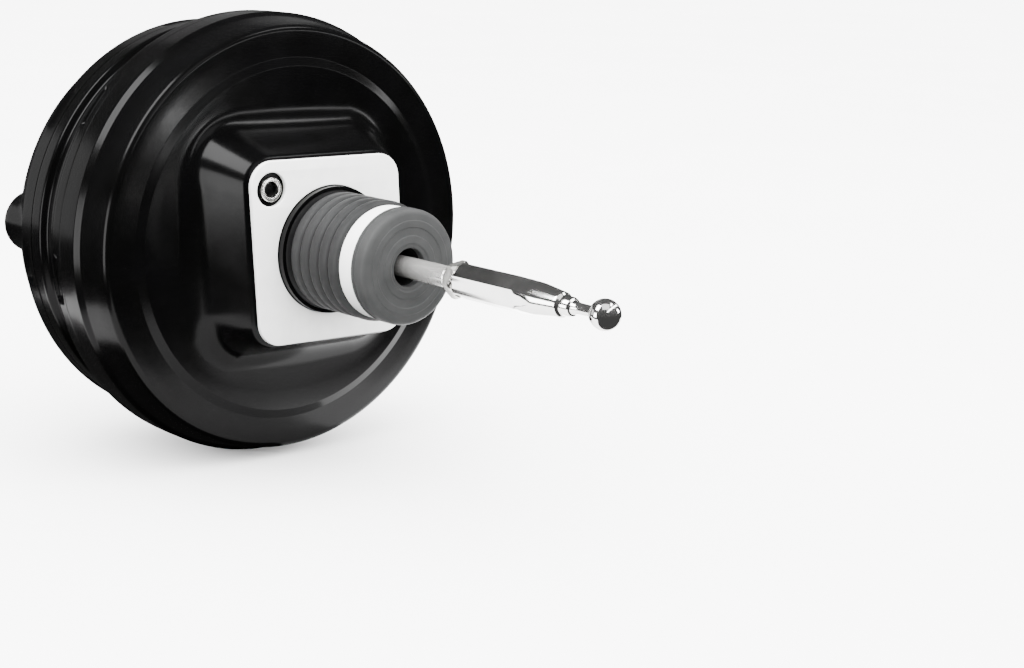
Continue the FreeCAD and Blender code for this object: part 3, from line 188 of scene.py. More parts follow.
class Nodes:
    def __init__(self, name, base, roughness, metallic=0.0, specular=0.5):
        self.material = bpy.data.materials.new(name)
        self.material.use_nodes = True
        self.tree = self.material.node_tree
        self.shader = self.tree.nodes["Principled BSDF"]
        self.shader.inputs["Base Color"].default_value = (*base, 1)
        self.shader.inputs["Roughness"].default_value = roughness
        self.shader.inputs["Metallic"].default_value = metallic
        self.shader.inputs["Specular IOR Level"].default_value = specular
        self.coords = self.add("ShaderNodeTexCoord").outputs["Object"]
        self.height = None

    def add(self, kind, **values):
        node = self.tree.nodes.new(kind)
        for key, value in values.items():
            setattr(node, key, value)
        return node

    def join(self, source, target):
        self.tree.links.new(source, target)

    def noise(self, scale, detail, where=None):
        node = self.add("ShaderNodeTexNoise")
        node.inputs["Scale"].default_value = scale
        node.inputs["Detail"].default_value = detail
        self.join(where or self.coords, node.inputs["Vector"])
        return node.outputs["Fac"]

    # Rings round the Y axis: marks left by turning, or by the mould.
    def turning(self, scale):
        split = self.add("ShaderNodeSeparateXYZ")
        self.join(self.coords, split.inputs[0])
        across, up = split.outputs["X"], split.outputs["Z"]
        square = self.maths("ADD", self.maths("MULTIPLY", across, across), self.maths("MULTIPLY", up, up))
        radius = self.maths("SQRT", square)
        joined = self.add("ShaderNodeCombineXYZ")
        self.join(self.maths("MULTIPLY", radius, scale), joined.inputs["X"])
        self.join(self.maths("MULTIPLY", split.outputs["Y"], scale), joined.inputs["Y"])
        return self.noise(1.0, 2, joined.outputs["Vector"])

    def maths(self, operation, first, second=None):
        node = self.add("ShaderNodeMath", operation=operation)
        for place, value in enumerate((first, second)):
            if value is None:
                continue
            if isinstance(value, (int, float)):
                node.inputs[place].default_value = value
            else:
                self.join(value, node.inputs[place])
        return node.outputs[0]

    def spread(self, factor, low, high):
        node = self.add("ShaderNodeMapRange")
        for socket, value in zip(("From Min", "From Max", "To Min", "To Max"), (*noiseSpan, low, high)):
            node.inputs[socket].default_value = value
        self.join(factor, node.inputs["Value"])
        return node.outputs["Result"]

    def colour(self, factor, dark, light):
        ramp = self.add("ShaderNodeValToRGB")
        for element, place, tint in zip(ramp.color_ramp.elements, noiseSpan, (dark, light)):
            element.position = place
            element.color = (*tint, 1)
        self.join(factor, ramp.inputs["Fac"])
        self.join(ramp.outputs["Color"], self.shader.inputs["Base Color"])

    def roughness(self, factor, low, high):
        self.join(self.spread(factor, low, high), self.shader.inputs["Roughness"])

    def bump(self, factor, distance, strength):
        node = self.add("ShaderNodeBump")
        node.inputs["Strength"].default_value = strength
        node.inputs["Distance"].default_value = distance
        self.join(factor, node.inputs["Height"])
        if self.height:
            self.join(self.height, node.inputs["Normal"])
        self.height = node.outputs["Normal"]
        self.join(self.height, self.shader.inputs["Normal"])


def blackPaint():
    look = Nodes("blackPaint", (0.0006, 0.0006, 0.0007), 0.2, specular=0.085)
    look.colour(look.noise(34, 5), (0.0005, 0.0005, 0.0005), (0.0009, 0.0009, 0.0010))
    look.roughness(look.noise(60, 4), 0.16, 0.22)
    look.bump(look.noise(420, 2), 0.00006, 0.2)
    return look.material


def paleCoating():
    look = Nodes("paleCoating", (0.80, 0.80, 0.79), 0.42)
    look.colour(look.noise(90, 6), (0.76, 0.76, 0.75), (0.84, 0.84, 0.83))
    look.roughness(look.noise(300, 3), 0.36, 0.5)
    look.bump(look.noise(1600, 2), 0.00004, 0.3)
    return look.material


# Rubber or soft plastic with faint rings from its mould.
def ringedSkin(name, dark, light):
    look = Nodes(name, light, 0.6, specular=0.12)
    look.colour(look.noise(70, 5), dark, light)
    look.roughness(look.noise(240, 4), 0.46, 0.62)
    look.bump(look.turning(900), 0.00012, 0.35)
    look.bump(look.noise(2200, 2), 0.00004, 0.3)
    return look.material


def whitePlastic():
    look = Nodes("whitePlastic", (0.86, 0.86, 0.85), 0.38)
    look.colour(look.noise(45, 4), (0.84, 0.84, 0.83), (0.90, 0.90, 0.89))
    look.roughness(look.noise(200, 3), 0.32, 0.44)
    return look.material


def turnedSteel(name, dark, light, rough):
    look = Nodes(name, light, rough, metallic=1.0)
    look.colour(look.noise(120, 4), dark, light)
    look.roughness(look.noise(260, 4), rough - 0.05, rough + 0.08)
    look.bump(look.turning(2600), 0.00001, 0.2)
    return look.material


def polishedSteel():
    look = Nodes("polishedSteel", (0.80, 0.79, 0.78), 0.1, metallic=1.0)
    look.colour(look.noise(40, 3), (0.76, 0.75, 0.74), (0.84, 0.83, 0.82))
    look.roughness(look.noise(90, 3), 0.07, 0.13)
    return look.material


# Zinc that has gone a little dull, so some of its light is scattered.
def paleSteel():
    look = Nodes("paleSteel", (0.72, 0.71, 0.69), 0.25, metallic=0.88)
    look.colour(look.noise(60, 3), (0.70, 0.69, 0.67), (0.74, 0.73, 0.71))
    look.roughness(look.noise(60, 3), 0.23, 0.28)
    return look.material


def pressedSteel():
    look = Nodes("pressedSteel", (0.42, 0.42, 0.43), 0.42, metallic=1.0)
    look.colour(look.noise(50, 6), (0.33, 0.33, 0.34), (0.47, 0.47, 0.47))
    look.roughness(look.noise(180, 4), 0.34, 0.5)
    return look.material


def mouldedPlastic():
    look = Nodes("mouldedPlastic", (0.10, 0.065, 0.035), 0.5)
    look.colour(look.noise(900, 3), (0.080, 0.050, 0.026), (0.125, 0.085, 0.048))
    look.bump(look.noise(1500, 3), 0.00005, 0.3)
    return look.material


# Dark foam, made darker still as painted shade, so that it reads black inside the cap's hole.
def darkFoamAndPaintedShade():
    look = Nodes("darkFoamAndPaintedShade", (0.003, 0.003, 0.003), 0.95, specular=0.05)
    look.colour(look.noise(1800, 3), (0.001, 0.001, 0.001), (0.006, 0.006, 0.006))
    look.bump(look.noise(1500, 3), 0.0004, 0.8)
    return look.material


looks = {
    "black_paint": blackPaint(),
    "pale_gasket": paleCoating(),
    "zinc_steel": turnedSteel("zincSteel", (0.60, 0.59, 0.57), (0.74, 0.73, 0.70), 0.2),
    "bright_steel": polishedSteel(),
    "plate_steel": pressedSteel(),
    "black_rubber": ringedSkin("blackRubber", (0.002, 0.002, 0.002), (0.004, 0.004, 0.0042)),
    "white_plastic": whitePlastic(),
    "grey_plastic": ringedSkin("greyPlastic", (0.024, 0.0245, 0.0245), (0.032, 0.0325, 0.0325)),
    "moulded_plastic": mouldedPlastic(),
    "spring_steel": turnedSteel("springSteel", (0.25, 0.25, 0.26), (0.38, 0.38, 0.39), 0.34),
    "filter_foam": darkFoamAndPaintedShade(),
}
for entry in frame["record"]["subparts"]:
    node = frame["nodes"][entry["node"]]
    node.data.materials.clear()
    node.data.materials.append(looks[entry["material_slot"]])
black = looks["black_paint"]
pale = paleSteel()
frame["nodes"]["input_rod"].data.materials[0] = pale
print("materials made")


# Outlines of the pads at the rear and the front. The rear one leans to one side.

def leaningOutline(halfWidth, top, bottom, corner, lean):
    corners = [
        (-halfWidth + lean * bottom, -bottom, corner), (halfWidth + lean * bottom, -bottom, corner),
        (halfWidth - lean * top, top, corner), (-halfWidth - lean * top, top, corner),
    ]
    return roundedPath(corners, closed=True, arcSteps=24, lineSteps=40)


# Distance from the axis to an outline in one direction.
def reachOf(outline, angle):
    across, up = math.cos(angle), math.sin(angle)
    best = 0
    for i, first in enumerate(outline):
        second = outline[(i + 1) % len(outline)]
        run = second - first
        cross = across * run.y - up * run.x
        if abs(cross) < 1e-9:
            continue
        along = (first.x * run.y - first.y * run.x) / cross
        share = (first.x * up - first.y * across) / cross
        if -1e-6 <= share <= 1 + 1e-6 and along > 0:
            best = max(best, along)
    return best


def smoothStep(low, high, value):
    share = min(1, max(0, (value - low) / (high - low)))
    return share * share * (3 - 2 * share)


# The span and the edge are in degrees, and a slope runs from outer to inner at each end.
crimps = {"count": 8, "first": 8, "span": 12.5, "edge": 1.2, "depth": 1.2, "outer": 0.3, "inner": 0.5}


# How deep a crimp is at this angle and place along the rim.
def crimpDepth(angle, place, start, end):
    step = 360 / crimps["count"]
    away = abs((math.degrees(angle) - crimps["first"] + step / 2) % step - step / 2)
    sideways = 1 - smoothStep(crimps["span"] / 2 - crimps["edge"], crimps["span"] / 2, away)
    risen = smoothStep(start - crimps["outer"], start + crimps["inner"], place)
    fallen = smoothStep(end - crimps["inner"], end + crimps["outer"], place)
    return crimps["depth"] * sideways * risen * (1 - fallen)


rear = {
    "wall": 2, "neck": 36, "neckTip": -4, "pad": 3, "dish": 35.2, "dishFall": 2.5,
    "beadInner": 100.2, "beadOuter": 105.1, "beadRound": 1.1, "annulus": 37,
    "shoulder": 122.8, "shoulderRound": 4, "flare": 127.3, "flareEnd": 58,
    "rim": 129.5, "rimStart": 61.2, "seam": 76,
    "lean": 4.7 / 52, "topEdge": 4.5, "footRound": 17,
}
padTop = leaningOutline(52.6, 53.6, 53.6, 15.6, rear["lean"])
padFoot = leaningOutline(67, 69, 61, 27, rear["lean"])


def rearSection(angle):
    top = reachOf(padTop, angle)
    foot = reachOf(padFoot, angle)
    share = (foot - rear["neck"]) / (rear["beadInner"] - rear["neck"])
    floor = rear["dish"] + rear["dishFall"] * (1 - share)
    corners = [
        (rear["neck"], rear["neckTip"], 0.7),
        (rear["neck"], rear["pad"], 0.6),
        (top, rear["pad"], rear["topEdge"]),
        (foot, floor, rear["footRound"]),
        (rear["beadInner"], rear["dish"], rear["beadRound"]),
        (rear["beadOuter"], rear["annulus"], rear["beadRound"]),
        (rear["shoulder"], rear["annulus"], rear["shoulderRound"]),
        (rear["flare"], rear["flareEnd"], 3),
        (rear["rim"], rear["rimStart"], 2.2),
        (rear["rim"], rear["seam"], 1),
    ]
    return sheetLoop(corners, rear["wall"], arcSteps=7, lineSteps=2)


def makeRearShell():
    mesh = bmesh.new()
    addSwept(mesh, rearSection, evenAngles(400))
    shell = makeObject("rearShell", mesh, black, "housing", 50)
    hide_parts("rear_shell")


makeRearShell()
print("rear shell made")


# The centre shell, with the waist between its two joints.
mid = {
    "wall": 2, "lip": 127.3, "lipStart": 68, "seam": 76.2, "rim": 129.3, "rimEnd": 86,
    "band": 123, "bandStart": 88.5, "bandEnd": 99, "waist": 117.5, "waistStart": 101.5,
    "waistEnd": 111.5, "frontRim": 121.5, "frontRimStart": 114, "frontSeam": 123.8,
    "frontLip": 119.3, "frontLipEnd": 128, "crimp": (79.6, 84.6),
}


def makeCentreShell():
    corners = [
        (mid["lip"], mid["lipStart"]),
        (mid["lip"], mid["seam"], 0.4),
        (mid["rim"], mid["seam"], 0.8),
        (mid["rim"], mid["rimEnd"], 2.6),
        (mid["band"], mid["bandStart"], 1.8),
        (mid["band"], mid["bandEnd"], 2.2),
        (mid["waist"], mid["waistStart"], 2.2),
        (mid["waist"], mid["waistEnd"], 2.2),
        (mid["frontRim"], mid["frontRimStart"], 2.2),
        (mid["frontRim"], mid["frontSeam"], 0.8),
        (mid["frontLip"], mid["frontSeam"], 0.3),
        (mid["frontLip"], mid["frontLipEnd"]),
    ]
    section = sheetLoop(corners, mid["wall"], arcSteps=5, lineSteps=6)

    def dented(angle):
        return [(spot.x - crimpDepth(angle, spot.y, *mid["crimp"]), spot.y) for spot in section]
    mesh = bmesh.new()
    addSwept(mesh, dented, evenAngles(408))
    shell = makeObject("centreShell", mesh, black, "housing", 50)
    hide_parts("centre_shell")


makeCentreShell()
print("centre shell made")


front = {
    "wall": 2, "collar": 172, "bore": 25.4, "ring": 33.5, "ringTop": 181.5, "pad": 180,
    "padHalfWidth": 58, "padHalfHeight": 62, "padCorner": 30, "padEdge": 2.4, "padDrop": 2.5,
    "domeInner": 62, "domeFace": 176, "crown": 97, "crownPlace": 167, "shoulder": 113,
    "shoulderPlace": 154, "root": 118.5, "rootPlace": 139, "rim": 121.5, "rimEnd": 135,
    "seam": 124, "domeRound": 14, "sideHalfAngle": 41, "sideEdge": 4, "sideFace": 171,
    "sideRound": 2.5, "ledge": 2.4, "crimp": (126.3, 132.8),
}
frontPad = leaningOutline(front["padHalfWidth"], front["padHalfHeight"], front["padHalfHeight"],
                          front["padCorner"], 0)


# The front shell from its bore outwards. On one side the dome gives way to a flat pad for the port.
def frontCorners(angle):
    pad = reachOf(frontPad, angle)
    degrees = abs((math.degrees(angle) + 180) % 360 - 180)
    side = 1 - smoothStep(front["sideHalfAngle"] - front["sideEdge"], front["sideHalfAngle"], degrees)
    slope = (front["domeFace"] - front["crownPlace"]) / (front["crown"] - front["domeInner"])
    foot = pad + front["padDrop"]
    footPlace = front["domeFace"] - max(0, foot - front["domeInner"]) * slope
    footPlace = footPlace * (1 - side) + front["sideFace"] * side
    crownPlace = front["crownPlace"] * (1 - side) + front["sideFace"] * side
    crownRound = front["domeRound"] * (1 - side) + front["sideRound"] * side
    fall = (front["crownPlace"] - front["shoulderPlace"]) / (front["shoulder"] - front["crown"])
    ledge = front["crown"] + front["ledge"]
    ledgePlace = front["crownPlace"] - front["ledge"] * fall
    return [
        (front["bore"], front["collar"]),
        (front["bore"], front["ringTop"], 0.8),
        (front["ring"], front["ringTop"], 0.8),
        (front["ring"], front["pad"], 0.4),
        (pad, front["pad"], front["padEdge"]),
        (foot, footPlace, 3),
        (front["crown"], crownPlace, crownRound),
        (ledge, ledgePlace, 3),
        (front["shoulder"], front["shoulderPlace"], front["domeRound"]),
        (front["root"], front["rootPlace"], 3),
        (front["rim"], front["rimEnd"], 3),
        (front["rim"], front["seam"], 0.8),
    ]


def frontSection(angle):
    section = sheetLoop(frontCorners(angle), -front["wall"], arcSteps=6, lineSteps=5)
    return [(spot.x - crimpDepth(angle, spot.y, *front["crimp"]), spot.y) for spot in section]


port = {"across": 75, "up": 4, "recess": 15, "floor": 168, "hole": 11, "wall": 2}
tie = {"across": 41, "up": 36.2, "hole": 8.4, "rearHole": 9.5}


def cutRound(obj, across, up, radius, start, end):
    mesh = bmesh.new()
    length = (end - start) * mm
    turn = Matrix.Rotation(math.pi / 2, 4, "X")
    place = Matrix.Translation(Vector((across, (start + end) / 2, up)) * mm)
    bmesh.ops.create_cone(mesh, cap_ends=True, segments=72, radius1=radius * mm, radius2=radius * mm,
                          depth=length, matrix=place @ turn)
    tool = makeObject("cutter", mesh, obj.data.materials[0], None)
    cut = obj.modifiers.new("cut", "BOOLEAN")
    cut.operation = "DIFFERENCE"
    cut.object = tool
    cut.solver = "EXACT"
    baked = bpy.data.meshes.new_from_object(obj.evaluated_get(bpy.context.evaluated_depsgraph_get()))
    obj.modifiers.clear()
    obj.data = baked
    bpy.data.objects.remove(tool)


boss = {"across": -100, "up": 2, "radius": 18.5, "face": 166, "round": 5.5, "skirt": 4, "reach": 121.2}


# The round boss, which meets the dome in a hollow fillet.
def addBoss(mesh):
    outside = roundedPath(frontCorners(math.pi), arcSteps=6, lineSteps=5)

    def domePlace(radius):
        for first, second in zip(outside, outside[1:]):
            if first.x <= radius <= second.x and second.x > first.x and first.x > front["ring"] + 1:
                return first.y + (second.y - first.y) * (radius - first.x) / (second.x - first.x)
        return front["rimEnd"]
    rings = []
    for angle in evenAngles(120):
        way = Vector((math.cos(angle), math.sin(angle)))
        middle = Vector((boss["across"], boss["up"]))

        def away(distance):
            return (middle + way * distance).length
        skirt = boss["skirt"]
        while skirt > 0.5 and away(boss["radius"] + skirt) > boss["reach"]:
            skirt -= 0.25  # the fillet narrows where it would pass the dome's edge
        profile = [(0.01, boss["face"])]
        for k in range(9):
            bend = math.pi / 2 * k / 8
            profile.append((boss["radius"] - boss["round"] * (1 - math.sin(bend)),
                            boss["face"] - boss["round"] * (1 - math.cos(bend))))
        low = min(profile[-1][1], domePlace(away(boss["radius"])) + skirt)
        for k in range(1, 6):
            profile.append((boss["radius"], profile[9][1] + (low - profile[9][1]) * k / 5))
        end = domePlace(away(boss["radius"] + skirt)) - 0.2
        for k in range(1, 8):
            bend = math.pi / 2 * k / 7
            profile.append((boss["radius"] + skirt * (1 - math.cos(bend)),
                            low + (end - low) * math.sin(bend)))
        ring = []
        for distance, place in profile:
            spot = middle + way * distance
            ring.append(mesh.verts.new(Vector((spot.x, place, spot.y)) * mm))
        rings.append(ring)
    for i, ring in enumerate(rings):
        following = rings[(i + 1) % len(rings)]
        for j in range(len(ring) - 1):
            mesh.faces.new((ring[j], ring[j + 1], following[j + 1], following[j]))
    bmesh.ops.remove_doubles(mesh, verts=mesh.verts, dist=2.5e-5)


def makeFrontShell():
    mesh = bmesh.new()
    addSwept(mesh, frontSection, [math.radians(degree) for degree in range(-180, 180)])
    shell = makeObject("frontShell", mesh, black, "housing", 50)
    cutRound(shell, port["across"], port["up"], port["recess"], 160, 175)
    for sign in (-1, 1):
        cutRound(shell, sign * tie["across"], -sign * tie["up"], tie["hole"], 174, 184)
    shell.data.shade_smooth()
    shell.data.set_sharp_from_angle(angle=math.radians(40))
    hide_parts("front_shell")
    mesh = bmesh.new()
    addBoss(mesh)
    makeObject("shellBoss", mesh, black, "housing", 50)
    outer, under = port["recess"] + port["wall"], port["floor"] - port["wall"]
    cup = lathe("portCup", [
        (port["hole"], port["floor"], 0.6), (port["recess"], port["floor"], 1.2),
        (port["recess"], front["sideFace"], 0.5), (port["recess"] + 1.2, front["sideFace"] - 0.02),
        (outer, front["sideFace"] - 1.5), (outer, under, 2), (port["hole"], under),
    ], black, "housing", 96, (port["across"], port["up"]))


makeFrontShell()
print("front shell made")


# A flat piece with holes and rounded edges, which lies across the axis.
def flatPiece(name, loops, low, high, edge):
    curve = bpy.data.curves.new(name, "CURVE")
    curve.dimensions = "2D"
    curve.fill_mode = "BOTH"
    curve.extrude = ((high - low) / 2 - edge) * mm
    curve.bevel_depth = edge * mm
    curve.bevel_resolution = 3
    for loop in loops:
        spline = curve.splines.new("POLY")
        spline.use_cyclic_u = True
        spline.points.add(len(loop) - 1)
        for point, spot in zip(spline.points, loop):
            point.co = (spot.x * mm, spot.y * mm, 0, 1)
    holder = bpy.data.objects.new(name, curve)
    scene.collection.objects.link(holder)
    data = bpy.data.meshes.new_from_object(holder.evaluated_get(bpy.context.evaluated_depsgraph_get()))
    bpy.data.objects.remove(holder)
    mesh = bmesh.new()
    mesh.from_mesh(data)
    middle = (low + high) / 2
    place = Matrix.Translation((0, middle * mm, 0)) @ Matrix.Rotation(math.pi / 2, 4, "X")
    bmesh.ops.transform(mesh, matrix=place, verts=mesh.verts)
    bmesh.ops.remove_doubles(mesh, verts=mesh.verts, dist=1e-6)
    return mesh


plate = {"halfWidth": 51, "halfHeight": 52, "corner": 14, "thickness": 3, "edge": 0.6, "gap": 0.3}


def makeMountingPlate():
    edge = plate["edge"]
    reach = plate["halfHeight"] - edge
    outline = leaningOutline(plate["halfWidth"] - edge, reach, reach, plate["corner"] - edge, rear["lean"])
    holes = [((0, 0), rear["neck"] + plate["gap"] + edge)]
    for sign in (-1, 1):
        holes.append(((sign * tie["across"], -sign * tie["up"]), tie["rearHole"] + edge))
    loops = [outline]
    for centre, radius in holes:
        loops.append([Vector((centre[0] + radius * math.cos(a), centre[1] + radius * math.sin(a)))
                      for a in evenAngles(120)])
    mesh = flatPiece("plate", loops, 0, plate["thickness"], edge)
    piece = makeObject("mountingPlate", mesh, looks["pale_gasket"], "housing", 40)
    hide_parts("mounting_plate")


makeMountingPlate()
print("mounting plate made")


# Geometry node trees

class Graph:
    def __init__(self, name, inputs):
        self.tree = bpy.data.node_groups.new(name, "GeometryNodeTree")
        self.tree.interface.new_socket("Geometry", in_out="OUTPUT", socket_type="NodeSocketGeometry")
        self.sockets = {}
        for label, kind in inputs:
            self.sockets[label] = self.tree.interface.new_socket(label, in_out="INPUT", socket_type=kind)
        self.source = self.tree.nodes.new("NodeGroupInput")
        self.sink = self.tree.nodes.new("NodeGroupOutput")

    def add(self, kind, links=None, **values):
        node = self.tree.nodes.new(kind)
        for key, value in values.items():
            setattr(node, key, value)
        for socket, value in (links or {}).items():
            self.feed(node.inputs[socket], value)
        return node

    def feed(self, socket, value):
        if isinstance(value, str):
            self.tree.links.new(self.source.outputs[value], socket)
        elif isinstance(value, bpy.types.NodeSocket):
            self.tree.links.new(value, socket)
        else:
            socket.default_value = value

    def maths(self, operation, *values):
        node = self.tree.nodes.new("ShaderNodeMath")
        node.operation = operation
        for place, value in enumerate(values):
            self.feed(node.inputs[place], value)
        return node.outputs[0]

    def finish(self, geometry, material):
        real = self.add("GeometryNodeRealizeInstances", {"Geometry": geometry}).outputs[0]
        painted = self.add("GeometryNodeSetMaterial", {"Geometry": real, "Material": material}).outputs[0]
        self.tree.links.new(painted, self.sink.inputs[0])


# Runs a node tree with these inputs and keeps the mesh it makes.
def bakeGraph(name, graph, inputs, material, body, sharpAngle, wall=None):
    data = bpy.data.meshes.new(name)
    obj = bpy.data.objects.new(name, data)
    scene.collection.objects.link(obj)
    made = obj.modifiers.new("made", "NODES")
    made.node_group = graph.tree
    for label, value in inputs.items():
        made[graph.sockets[label].identifier] = value
    if wall:
        thick = obj.modifiers.new("thick", "SOLIDIFY")
        thick.thickness = wall
        thick.offset = -1
    baked = bpy.data.meshes.new_from_object(obj.evaluated_get(bpy.context.evaluated_depsgraph_get()))
    bpy.data.objects.remove(obj)
    mesh = bmesh.new()
    mesh.from_mesh(baked)
    bmesh.ops.remove_doubles(mesh, verts=mesh.verts, dist=1e-6)
    return makeObject(name, mesh, material, body, sharpAngle)


# Bellows: round ribs with narrow grooves between them.
def bellowsGraph(material):
    graph = Graph("bellows", [("Ribs", "NodeSocketInt"), ("Crest", "NodeSocketFloat"),
                              ("Root", "NodeSocketFloat"), ("Start", "NodeSocketFloat"),
                              ("End", "NodeSocketFloat"), ("Fullness", "NodeSocketFloat")])
    across = graph.maths("ADD", graph.maths("MULTIPLY", "Ribs", boot["ribSteps"]), 1)
    grid = graph.add("GeometryNodeMeshGrid", {"Size X": 1.0, "Size Y": 1.0, "Vertices X": across,
                                              "Vertices Y": boot["sides"] + 1})
    spot = graph.add("ShaderNodeSeparateXYZ", {0: graph.add("GeometryNodeInputPosition").outputs[0]})
    along = graph.maths("ADD", spot.outputs["X"], 0.5)
    angle = graph.maths("MULTIPLY", spot.outputs["Y"], 2 * math.pi)
    phase = graph.maths("FRACT", graph.maths("MULTIPLY", along, "Ribs"))
    offset = graph.maths("ABSOLUTE", graph.maths("SUBTRACT", graph.maths("MULTIPLY", phase, 2), 1))
    lobe = graph.maths("SUBTRACT", 1, graph.maths("POWER", offset, "Fullness"))
    depth = graph.maths("SUBTRACT", "Crest", "Root")
    radius = graph.maths("ADD", "Root", graph.maths("MULTIPLY", depth, lobe))
    length = graph.maths("SUBTRACT", "End", "Start")
    place = graph.maths("ADD", "Start", graph.maths("MULTIPLY", length, along))
    joined = graph.add("ShaderNodeCombineXYZ", {
        "X": graph.maths("MULTIPLY", radius, graph.maths("COSINE", angle)), "Y": place,
        "Z": graph.maths("MULTIPLY", radius, graph.maths("SINE", angle))})
    moved = graph.add("GeometryNodeSetPosition", {"Geometry": grid.outputs["Mesh"],
                                                  "Position": joined.outputs[0]})
    merged = graph.add("GeometryNodeMergeByDistance", {"Geometry": moved.outputs[0], "Distance": 0.00001})
    graph.finish(merged.outputs[0], material)
    return graph


# Wire or thread wound round the Y axis.
def windingGraph(material):
    graph = Graph("winding", [("Turns", "NodeSocketFloat"), ("Coil", "NodeSocketFloat"),
                              ("Wire", "NodeSocketFloat"), ("Start", "NodeSocketFloat"),
                              ("Length", "NodeSocketFloat"), ("Sides", "NodeSocketInt"),
                              ("Steps", "NodeSocketInt")])
    spiral = graph.add("GeometryNodeCurveSpiral", {
        "Resolution": "Steps", "Rotations": "Turns", "Start Radius": "Coil", "End Radius": "Coil",
        "Height": "Length"})
    turned = graph.add("GeometryNodeTransform", {"Geometry": spiral.outputs[0],
                                                 "Rotation": (-math.pi / 2, 0, 0)})
    shift = graph.add("ShaderNodeCombineXYZ", {"X": 0.0, "Y": "Start", "Z": 0.0})
    moved = graph.add("GeometryNodeTransform", {"Geometry": turned.outputs[0],
                                                "Translation": shift.outputs[0]})
    section = graph.add("GeometryNodeCurvePrimitiveCircle", {"Resolution": "Sides", "Radius": "Wire"})
    tube = graph.add("GeometryNodeCurveToMesh", {"Curve": moved.outputs[0],
                                                 "Profile Curve": section.outputs[0], "Fill Caps": True})
    graph.finish(tube.outputs[0], material)
    return graph


boot = {"ribs": 5, "crest": 32.2, "root": 28.1, "start": -6.4, "end": -48.8, "fullness": 4.6,
        "wall": 1.2, "ribSteps": 24, "sides": 160}
darkRubber = ringedSkin("bootRubber", (0.0125, 0.0126, 0.0128), (0.017, 0.0172, 0.0174))


def makeBoot():
    bellows = bellowsGraph(darkRubber)
    skin = bakeGraph("dustBoot", bellows, {
        "Ribs": boot["ribs"], "Crest": boot["crest"] * mm, "Root": boot["root"] * mm,
        "Start": boot["start"] * mm, "End": boot["end"] * mm, "Fullness": boot["fullness"],
    }, darkRubber, None, 60, wall=boot["wall"] * mm)
    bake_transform(skin)
    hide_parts("dust_boot")
    collar = lathe("bootCollar", [
        (28.6, -1), (33.8, -1), (33.8, -4.4, 1.2), (31.2, -5.6, 1.2), (29.6, -7, 0.5), (28.4, -7)],
        looks["black_rubber"], "housing")
    tail = lathe("bootTail", [(28.75, -47.6), (29.5, -47.6, 0.3), (29.75, -49.4, 0.5),
                              (29.75, -60), (28.75, -60)], darkRubber, "power_piston")
    band = lathe("bootBand", [(29.8, -49, 0.3), (31.2, -49, 0.6), (31.2, -60, 0.6), (29.8, -60, 0.3)],
                 looks["white_plastic"], "power_piston", 192)
    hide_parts("boot_band")


def makeCap():
    cap = lathe("endCap", [
        (10.5, -66), (10.5, -70.6, 0.8), (12.6, -70.9, 0.6), (13.4, -71.5, 0.5), (17.2, -71.5, 0.4),
        (17.6, -71.1, 0.3), (21.8, -71.1, 0.3), (22.2, -71.5, 0.4), (25.6, -71.5, 0.4),
        (26.0, -71.2, 0.3), (31.7, -71.0, 4.6), (31.8, -63.6, 0.6), (31.2, -63.2, 0.3),
        (31.2, -62.2, 0.3), (31.8, -61.8, 0.5), (31.8, -60.1, 0.5), (28.75, -60.1), (28.75, -66)],
        looks["grey_plastic"], "power_piston", 192)
    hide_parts("end_cap")


makeBoot()
makeCap()
print("boot and cap made")


# A bar whose outline changes along the axis: flats cut by cones.
def makeBar(name, stations, flats, turned, material, body):
    angles = [math.radians(30 + 60 * k / 8) for k in range(48)]

    def flat(angle):
        turn = math.degrees(angle) % 60
        return flats / 2 / math.cos(math.radians(min(turn, 60 - turn)))
    mesh = bmesh.new()
    rings = []
    for place, cone, hexagonal in stations:
        ring = []
        for angle in angles:
            radius = min(cone, flat(angle)) if hexagonal else cone
            way = angle + math.radians(turned)
            ring.append(mesh.verts.new(Vector((radius * math.cos(way), place, radius * math.sin(way))) * mm))
        rings.append(ring)
    for first, second in zip(rings, rings[1:]):
        for j in range(len(first)):
            k = (j + 1) % len(first)
            mesh.faces.new((first[j], first[k], second[k], second[j]))
    mesh.faces.new(rings[0])
    mesh.faces.new(rings[-1][::-1])
    bmesh.ops.remove_doubles(mesh, verts=mesh.verts, dist=1e-7)
    return makeObject(name, mesh, material, body, 28)


bright = looks["bright_steel"]
zinc = looks["zinc_steel"]


nutSizes = {"flats": 18, "turned": 42, "start": -109, "end": -115}
sleeveSizes = {"flats": 17, "turned": 8, "start": -115.02, "taper": -162, "end": -191, "tip": 6.5,
               "hollow": 1.15, "ball": -220, "ballRadius": 8}


